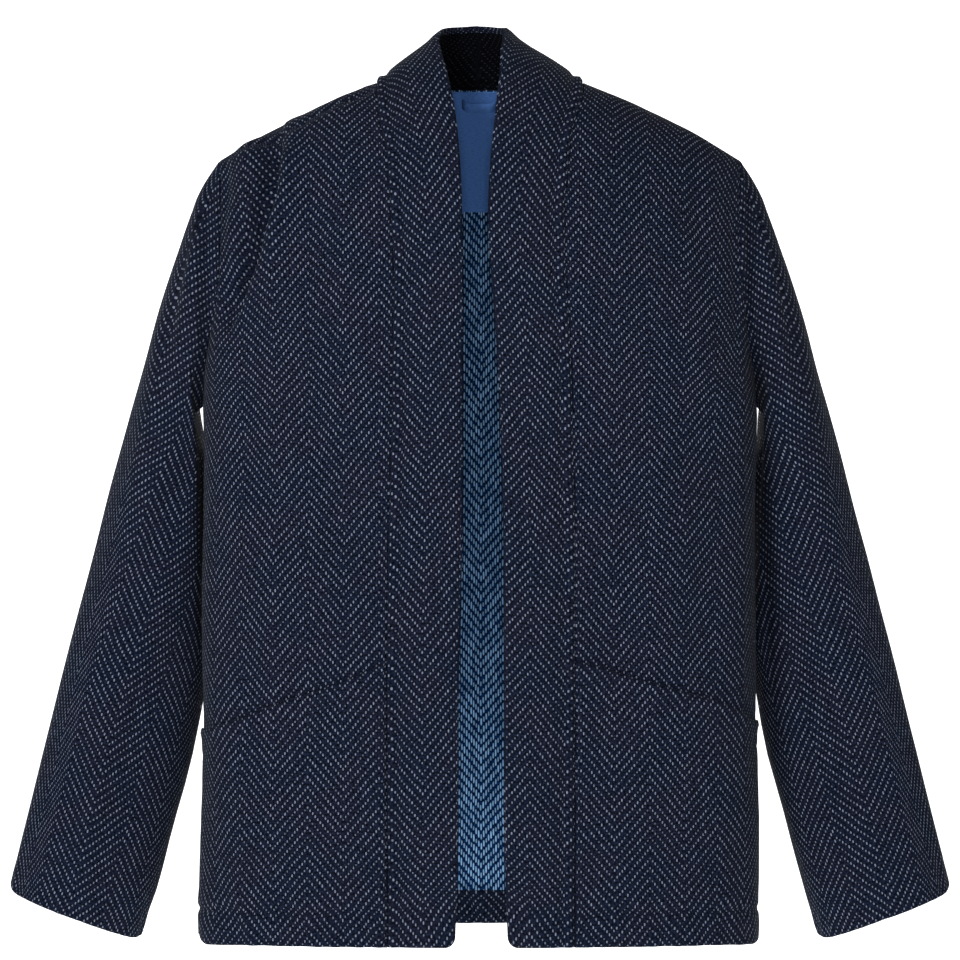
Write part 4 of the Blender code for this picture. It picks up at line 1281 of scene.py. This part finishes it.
def cloth_shell(name, outer, inner, cloth, materials, closed=False, round_by=0.0008,
                inner_slots=None, fold_row=None):
    """A thin closed wall of cloth with round rims, its face outside and its reverse inside.

    cloth holds the cloth coordinates of each place, or a pair of them for a tube, whose
    two halves meet along the inner seam. From fold_row on, the inner skin is the hem's
    turning, whose cloth runs on round the edge.
    """
    if closed:
        outer, inner = outer[:, :-1], inner[:, :-1]
    rows, columns = outer.shape[:2]
    middle = (outer + inner) / 2
    outer = rounded_skin(outer, closed, round_by)
    inner = rounded_skin(inner, closed, round_by)
    count = rows * columns
    points = [outer.reshape(-1, 3), inner.reshape(-1, 3)]
    front, behind = cloth if closed else (cloth, cloth)

    def cloth_at(places, turned=False):
        i, j = places[..., 0], places[..., 1]
        later = places[..., 1].mean(axis=1, keepdims=True) > columns // 2
        found = np.where((closed & later)[..., None], behind[i, j], front[i, j])
        if turned and fold_row is not None:
            flap = places[:, 0, 0] >= fold_row
            found[flap, :, 1] = 2 * front[-1, j[flap], 1] - found[flap, :, 1]
        return found

    corners, places = cell_corners(rows, columns, closed, 0)
    swapped = places[:, [0, 3, 2, 1]]
    faces = [corners, (corners + count)[:, [0, 3, 2, 1]]]
    coordinates = [cloth_at(places), cloth_at(swapped, True)]
    if inner_slots is None:
        inner_slots = np.ones((rows, columns), dtype=int)
        if fold_row is not None:
            inner_slots[fold_row:] = 0
    slots = [np.zeros(len(corners), dtype=int), inner_slots[places[:, 0, 0], places[:, 0, 1]]]
    total = 2 * count
    for loop in border_loops(rows, columns, closed):
        spots = np.array(loop)
        here, there = spots[:-1], spots[1:]
        ring = np.arange(len(loop) - 1) + total
        after = np.roll(ring, -1)
        points.append(middle[here[:, 0], here[:, 1] % columns])
        total += len(ring)
        a = here[:, 0] * columns + here[:, 1] % columns
        b = there[:, 0] * columns + there[:, 1] % columns
        pair = np.stack([there, here, here, there], axis=1)
        faces += [np.stack([b, a, ring, after], axis=1),
                  np.stack([after, ring, a + count, b + count], axis=1)]
        coordinates += [cloth_at(pair), cloth_at(pair)]
        # Rims along the first column take slot 2, the painted shade, where the inner skin beside them has it
        rim = np.where(here[:, 1] == 0, inner_slots[here[:, 0], 0], 0)
        slots += [np.where(rim == 2, 2, 0)] * 2
    mesh = bpy.data.meshes.new(name + "_cloth")
    faces = np.concatenate(faces)
    mesh.from_pydata(np.vstack(points).tolist(), [], faces.tolist())
    layer = mesh.uv_layers.new(name="cloth")
    layer.data.foreach_set("uv", np.concatenate(coordinates).reshape(-1))
    for material in materials:
        mesh.materials.append(material)
    mesh.polygons.foreach_set("material_index", np.concatenate(slots))
    mesh.polygons.foreach_set("use_smooth", np.ones(len(faces), dtype=bool))
    if signed_volume(np.vstack(points), faces) < 0.0:
        mesh.flip_normals()
    mesh.set_sharp_from_angle(angle=math.radians(70.0))
    piece = bpy.data.objects.new(mesh.name, mesh)
    bpy.context.scene.collection.objects.link(piece)
    return piece


def signed_volume(points, faces):
    """Volume that the faces bound, negative if they face inwards."""
    a, b, c, d = (points[faces[:, k]] for k in range(4))
    return float(np.sum(a * (np.cross(b, c) + np.cross(c, d))))


class Nodes:
    """Adds nodes to a material and links them, one call for each."""

    def __init__(self, material):
        material.use_nodes = True
        self.tree = material.node_tree
        self.shader = self.tree.nodes["Principled BSDF"]

    def put(self, socket, value):
        """Link an output to a socket, or set its value."""
        if isinstance(value, bpy.types.NodeSocket):
            self.tree.links.new(value, socket)
        elif value is not None:
            socket.default_value = value

    def add(self, kind, output, inputs=(), **settings):
        """A node with settings and inputs by name or place; gives one output."""
        node = self.tree.nodes.new(kind)
        for name, value in settings.items():
            setattr(node, name, value)
        for name, value in dict(inputs).items():
            self.put(node.inputs[name], value)
        return node.outputs[output]

    def maths(self, operation, *values):
        """One step of arithmetic."""
        return self.add("ShaderNodeMath", 0, dict(enumerate(values)), operation=operation)

    def ease(self, value, start, end):
        """A value turned into 0 to 1 between start and end, with soft ends."""
        return self.add("ShaderNodeMapRange", 0,
                        {"Value": value, "From Min": start, "From Max": end},
                        interpolation_type="SMOOTHSTEP")

    def noise(self, vector, scale, detail, roughness=0.5):
        """Noise from 0 to 1."""
        return self.add("ShaderNodeTexNoise", "Fac",
                        {"Vector": vector, "Scale": scale, "Detail": detail,
                         "Roughness": roughness})

    def blend(self, share, first, second):
        """Two colours mixed by a share."""
        return self.add("ShaderNodeMix", "Result", {0: share, 6: first, 7: second},
                        data_type="RGBA")

    def bumped(self, height, strength, distance):
        """Lift the surface by a height."""
        self.put(self.shader.inputs["Normal"], self.add(
            "ShaderNodeBump", "Normal", {"Strength": strength, "Distance": distance, "Height": height}))

    def lit(self, colour, amount):
        """A colour made lighter or darker by an amount around 1."""
        if not isinstance(colour, bpy.types.NodeSocket):
            colour = colour[:3]
        return self.add("ShaderNodeVectorMath", "Vector", {0: colour, "Scale": amount},
                        operation="SCALE")


def stitch_pattern(nodes, dash):
    """Running stitches in zigzag columns: their mask, their height, the reach of the painted shade round
    them, and a share for each.
    """
    place = nodes.add("ShaderNodeUVMap", "UV", uv_map="cloth")
    split = nodes.tree.nodes.new("ShaderNodeSeparateXYZ")
    nodes.put(split.inputs[0], place)
    drift = nodes.maths("SUBTRACT", nodes.noise(place, COLUMN_DRIFT[0], 1.0), 0.5)
    waver = nodes.maths("SUBTRACT", nodes.noise(place, ROW_WAVER[0], 1.0), 0.5)
    across = nodes.maths("MULTIPLY_ADD", split.outputs[0], 1 / COLUMN_PITCH,
                         nodes.maths("MULTIPLY", drift, COLUMN_DRIFT[1]))
    number = nodes.maths("FLOOR", across)
    beside = nodes.maths("SUBTRACT", nodes.maths("SUBTRACT", across, number), 0.5)
    zigzag = nodes.maths("PINGPONG", number, float(TURN_AFTER))
    along = nodes.maths("MULTIPLY_ADD", split.outputs[1], 1 / STITCH_REPEAT,
                        nodes.maths("MULTIPLY", zigzag, STITCH_STEP / STITCH_REPEAT))
    along = nodes.maths("ADD", along, nodes.maths("MULTIPLY", waver, ROW_WAVER[1]))
    row = nodes.maths("FLOOR", along)
    before = nodes.maths("SUBTRACT", nodes.maths("SUBTRACT", along, row), 0.5)
    cell = nodes.add("ShaderNodeCombineXYZ", 0, {0: number, 1: row})
    chance = nodes.add("ShaderNodeTexWhiteNoise", "Value", {"Vector": cell}, noise_dimensions="2D")
    half_width = dash[0] / COLUMN_PITCH / 2
    half_length = dash[1] / STITCH_REPEAT / 2
    long_by = nodes.maths("MULTIPLY_ADD", chance, *(part * half_length for part in STITCH_LENGTHS))
    wide, tall = (
        nodes.maths("POWER", nodes.maths("ABSOLUTE", nodes.maths("DIVIDE", off, reach)), power)
        for off, reach, power in zip((beside, before), (half_width, long_by), STITCH_POWERS))
    spread = nodes.maths("ADD", wide, tall)
    mask, height, stitch_shade = (nodes.ease(spread, *ends)
                            for ends in (STITCH_EDGE, STITCH_DOME, STITCH_SHADE))
    return place, mask, height, stitch_shade, chance


def stitched_cloth(name, ground, thread, dash):
    """Indigo cotton with pale running stitches in a herringbone."""
    material = bpy.data.materials.new(name)
    nodes = Nodes(material)
    place, mask, height, stitch_shade, chance = stitch_pattern(nodes, dash)
    weave = nodes.noise(place, *WEAVE)
    patches = nodes.noise(place, *PATCHES)
    mottle = nodes.noise(place, *MOTTLE)
    cloth = nodes.blend(nodes.ease(patches, 0.35, 0.65), ground[0], ground[1])
    amount = nodes.ease(mottle, 0.28, 0.74)
    amount = nodes.maths("MULTIPLY_ADD", amount, 2.1, 0.12)
    amount = nodes.maths("MULTIPLY", amount, nodes.maths("MULTIPLY_ADD", weave, 1.2, 0.4))
    # Painted shade: the ground is darkened round each stitch, where the thread dives into the cloth
    amount = nodes.maths("MULTIPLY", amount, nodes.maths("MULTIPLY_ADD", stitch_shade, -0.45, 1.0))
    cloth = nodes.lit(cloth, amount)
    yarn = nodes.lit(thread, nodes.maths("MULTIPLY_ADD", chance, 0.55, 0.62))
    colour = nodes.blend(mask, cloth, yarn)
    nodes.put(nodes.shader.inputs["Base Color"], colour)
    rough = nodes.maths("MULTIPLY_ADD", mask, -0.12, 0.94)
    nodes.put(nodes.shader.inputs["Roughness"], rough)
    nodes.shader.inputs["Sheen Weight"].default_value = SHEEN
    nodes.shader.inputs["Sheen Roughness"].default_value = 0.5
    nodes.shader.inputs["Specular IOR Level"].default_value = STITCHED_GLOSS
    surface = nodes.maths("MULTIPLY_ADD", weave, 0.25, height)
    surface = nodes.maths("MULTIPLY_ADD", mottle, 0.5, surface)
    nodes.bumped(surface, *STITCHED_BUMP)
    material.diffuse_color = ground[0]
    return material


def plain_cloth(name, colour, light):
    """Plain-woven blue cotton with its crossing threads."""
    material = bpy.data.materials.new(name)
    nodes = Nodes(material)
    place = nodes.add("ShaderNodeUVMap", "UV", uv_map="cloth")
    split = nodes.tree.nodes.new("ShaderNodeSeparateXYZ")
    nodes.put(split.inputs[0], place)
    across = nodes.maths("SINE", nodes.maths("MULTIPLY", split.outputs[0], 2 * math.pi / PLAIN_PITCH))
    along = nodes.maths("SINE", nodes.maths("MULTIPLY", split.outputs[1], 2 * math.pi / PLAIN_PITCH))
    weave = nodes.maths("MULTIPLY", across, along)
    slubs = nodes.noise(nodes.add("ShaderNodeVectorMath", "Vector", {0: place, 1: (1.0, 5.0, 1.0)},
                                  operation="MULTIPLY"), 320.0, 2.0)
    share = nodes.maths("MULTIPLY_ADD", weave, 0.3, slubs)
    nodes.put(nodes.shader.inputs["Base Color"], nodes.blend(nodes.ease(share, 0.2, 0.85), colour, light))
    nodes.shader.inputs["Roughness"].default_value = 0.9
    nodes.shader.inputs["Sheen Weight"].default_value = SHEEN
    nodes.shader.inputs["Specular IOR Level"].default_value = PLAIN_GLOSS
    nodes.bumped(share, *PLAIN_BUMP)
    material.diffuse_color = colour
    return material


def wall_depths(rows, fold, thick, turned):
    """Wall thickness by row, growing over the turned-up hem."""
    share = np.clip((np.arange(rows) - fold + 1.0) / 2.0, 0.0, 1.0)
    return thick + (turned - thick) * share


def build_pieces():
    """Make every sheet of the jacket, and give them by node name."""
    grids = fine_grids()
    smooth = fine_panels(body_panels(False))
    cloths = {
        "front_left": panel_cloth(smooth["front_left"], FRONT_DEPTH, LEFT_PEAK_X),
        "front_right": panel_cloth(smooth["front_right"], FRONT_DEPTH, RIGHT_PEAK_X),
        "back": panel_cloth(smooth["back"], BACK_DEPTH, -TURN_AFTER * COLUMN_PITCH),
        "sleeve_left": sleeve_cloth(grids["sleeve_left"], -1, SLEEVE_PEAK),
        "sleeve_right": sleeve_cloth(grids["sleeve_right"], 1, SLEEVE_PEAK),
        "collar_band": band_cloth(grids["collar_band"], 0.0, RIGHT_BAND_PEAK),
    }
    cloths["front_left"] = over_the_shoulder(grids["front_left"], cloths["front_left"])
    own = fine_normals(grids)[0]
    lifts = {name: body_relief(grids[name], cloths[name], name, 10 * seed + 1)
             for seed, name in enumerate(PANELS)}
    for seed, (name, side) in enumerate(zip(SLEEVES, (-1, 1))):
        lifts[name] = sleeve_relief(grids[name], cloths[name][0], side, 10 * seed + 51)
    lifts["collar_band"] = band_relief(grids["collar_band"], cloths["collar_band"], 81)
    for name, lift in lifts.items():
        grids[name] = grids[name] + own[name] * lift[..., None]
    for first in (0, -1):
        grids["collar_band"] = round_corner(grids["collar_band"], (1, -1), (0, first), CORNER)
    for name in PANELS:
        across = HALF_WIDTH - np.abs(grids[name][..., 0])
        grids[name] = raised_ends(grids[name], across, *HEM_CORNER)
    for name in SLEEVES:
        ring = grids[name][-1]
        line = unit(ring[0] - ring[len(ring) // 2])
        place = np.sum((grids[name] - ring[0]) * line, axis=2)
        width = abs(np.dot(ring[0] - ring[len(ring) // 2], line))
        place = np.minimum(-place, place + width)
        grids[name] = raised_ends(grids[name], np.maximum(place, 0.0), *CUFF_CORNER)
    shared = fine_normals(grids)[1]

    face = stitched_cloth("indigo_face", FACE_GROUND, FACE_THREAD, FACE_DASH)
    # Painted light: the reverse's own lighter blue, brightened further to stand in for light inside the
    # jacket
    reverse = stitched_cloth("indigo_reverse", REVERSE_GROUND, REVERSE_THREAD, REVERSE_DASH)
    # Painted shade: a darker copy of the face cloth, for the band's inside at the back neck
    painted_shade_cloth = stitched_cloth("indigo_painted_shade", PAINTED_SHADE_GROUND, PAINTED_SHADE_THREAD, FACE_DASH)
    # Painted light: the chambray's own blue, brightened further to stand in for light inside the back neck
    plain = plain_cloth("chambray", PLAIN_DARK, PLAIN_LIGHT)
    pieces = {}
    for name in PANELS + SLEEVES:
        grid, fold = grids[name], FINE_HEM_FOLD
        if name in SLEEVES:
            fold = int(np.argmin(abs(edge_distance(grid, 0, -1)[:, 0] - CUFF_FOLD)))
        depth = wall_depths(len(grid), fold, PANEL_THICK, HEM_THICK)
        outer = grid + shared[name] * PANEL_THICK / 2
        inner = outer - shared[name] * depth[:, None, None]
        pieces[name] = cloth_shell(name, outer, inner, cloths[name], [face, reverse],
                                   closed=name in SLEEVES, fold_row=fold)
    outer, inner = wall_skins(grids["collar_band"], shared["collar_band"],
                              np.full(grids["collar_band"].shape[:2], BAND_THICK))
    # Where the painted shade goes: the band's inside near the back neck, except the rolled columns at its
    # edge
    painted_shade_zone = cloths["collar_band"][..., 1] > -NECK_SHADE
    painted_shade_zone[:, -ROLLED_COLUMNS:] = False
    pieces["collar_band"] = cloth_shell("collar_band", outer, inner, cloths["collar_band"],
                                        [face, face, painted_shade_cloth], round_by=0.0016,
                                        inner_slots=np.where(painted_shade_zone, 2, 1))
    for side, seed in (("left", 91), ("right", 96)):
        front = "front_" + side
        grid, normals = grids[front][FINE_POCKET:], shared[front][FINE_POCKET:]
        cloth = cloths[front][FINE_POCKET:] + (0.0, POCKET_SHIFT)
        lift = pocket_relief(grid, cloth, seed)
        inner = grid + normals * (PANEL_THICK / 2 + SEAM_GAP)
        outer = inner + normals * (POCKET_THICK + np.maximum(lift, -0.0009))[..., None]
        side_seam = edge_distance(grid, 1, -1)
        taper = 1 - np.exp(-(side_seam / 0.012) ** 2)
        outer -= normals * ((1 - taper) * (POCKET_THICK - 0.0006))[..., None]
        pieces["pocket_" + side] = cloth_shell("pocket_" + side, outer, inner, cloth, [face, reverse])
    columns = slice((FRONT_COLUMNS - 3) * FINE, (FRONT_COLUMNS + NECK_COLUMNS + 3) * FINE + 1)
    rows = slice(1, YOKE_ROWS * FINE + 1)
    turned = shared["back"][rows, columns]
    outer = grids["back"][rows, columns] - turned * (PANEL_THICK / 2 + FACING_CLEARANCE)
    inner = outer - turned * FACING_THICK
    pieces["neck_facing"] = cloth_shell("neck_facing", outer, inner,
                                        cloths["back"][rows, columns], [plain, plain],
                                        round_by=0.0004)
    outer, inner = loop_skins(inner[::FINE, ::FINE])
    cloth = np.stack(np.meshgrid(np.linspace(0, 2 * LOOP_HALF, outer.shape[1]),
                                 np.linspace(0, LOOP_HEIGHT, outer.shape[0])), axis=2)
    pieces["hanger_loop"] = cloth_shell("hanger_loop", outer, inner, cloth, [plain, plain],
                                        round_by=0.0003)
    return pieces


def declare(pieces):
    """Hide the solid that each piece takes the place of, and hang the piece on the root body."""
    for name, piece in pieces.items():
        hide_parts(name)
        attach(piece, "root")


def area_light(name, place, aim, size, power):
    """A soft rectangular light that points at a place."""
    light = bpy.data.lights.new(name, "AREA")
    light.shape = "RECTANGLE"
    light.size, light.size_y = size
    light.energy = power
    lamp = bpy.data.objects.new(name, light)
    lamp.location = place
    lamp.rotation_euler = look_along(place, aim)
    bpy.context.scene.collection.objects.link(lamp)


def look_along(place, aim):
    """Rotation that turns an object's -Z from one place towards another."""
    return (mathutils.Vector(aim) - mathutils.Vector(place)).to_track_quat("-Z", "Y").to_euler()


def studio():
    """Pale floor that rises behind the jacket, soft light and the camera."""
    profile = [(-6.0, FLOOR_Z), (SWEEP_Y, FLOOR_Z)]
    profile += [(SWEEP_Y + SWEEP_RADIUS * math.sin(t), FLOOR_Z + SWEEP_RADIUS * (1 - math.cos(t)))
                for t in np.linspace(0.1, math.pi / 2, 12)]
    profile += [(SWEEP_Y + SWEEP_RADIUS, 4.0)]
    points = [(x, y, z) for x in (-SWEEP_HALF_WIDTH, SWEEP_HALF_WIDTH) for y, z in profile]
    count = len(profile)
    faces = [(k, k + 1, count + k + 1, count + k) for k in range(count - 1)]
    mesh = bpy.data.meshes.new("sweep")
    mesh.from_pydata(points, [], faces)
    mesh.shade_smooth()
    sweep = bpy.data.objects.new("sweep", mesh)
    bpy.context.scene.collection.objects.link(sweep)
    paper = bpy.data.materials.new("paper")
    paper.use_nodes = True
    shader = paper.node_tree.nodes["Principled BSDF"]
    shader.inputs["Base Color"].default_value = PAPER_WHITE
    shader.inputs["Roughness"].default_value = 0.9
    shader.inputs["Emission Color"].default_value = (1.0, 1.0, 1.0, 1.0)
    shader.inputs["Emission Strength"].default_value = PAPER_GLOW
    mesh.materials.append(paper)

    world = bpy.data.worlds.new("studio")
    world.use_nodes = True
    background = world.node_tree.nodes["Background"]
    background.inputs["Color"].default_value = (1.0, 1.0, 1.0, 1.0)
    background.inputs["Strength"].default_value = SKY_STRENGTH
    bpy.context.scene.world = world
    middle = (0.0, 0.0, VIEW_HEIGHT)
    for name, (place, size, power) in (("key", KEY), ("fill", FILL)):
        area_light(name, place, middle, size, power)

    camera = bpy.data.cameras.new("camera")
    camera.lens = LENS
    camera.sensor_width = 36.0
    camera.dof.use_dof = False
    eye = bpy.data.objects.new("camera", camera)
    eye.location = (0.0, -CAMERA_DISTANCE, VIEW_HEIGHT)
    eye.rotation_euler = (math.pi / 2, 0.0, 0.0)
    bpy.context.scene.collection.objects.link(eye)
    bpy.context.scene.camera = eye
    bpy.context.scene.view_settings.view_transform = "Standard"


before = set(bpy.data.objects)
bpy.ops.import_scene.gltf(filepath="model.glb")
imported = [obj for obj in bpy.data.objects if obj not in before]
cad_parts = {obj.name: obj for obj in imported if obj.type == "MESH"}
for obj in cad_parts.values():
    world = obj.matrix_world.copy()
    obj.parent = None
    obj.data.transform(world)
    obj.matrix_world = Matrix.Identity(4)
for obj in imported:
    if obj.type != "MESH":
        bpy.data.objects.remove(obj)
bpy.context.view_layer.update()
declare(build_pieces())
studio()
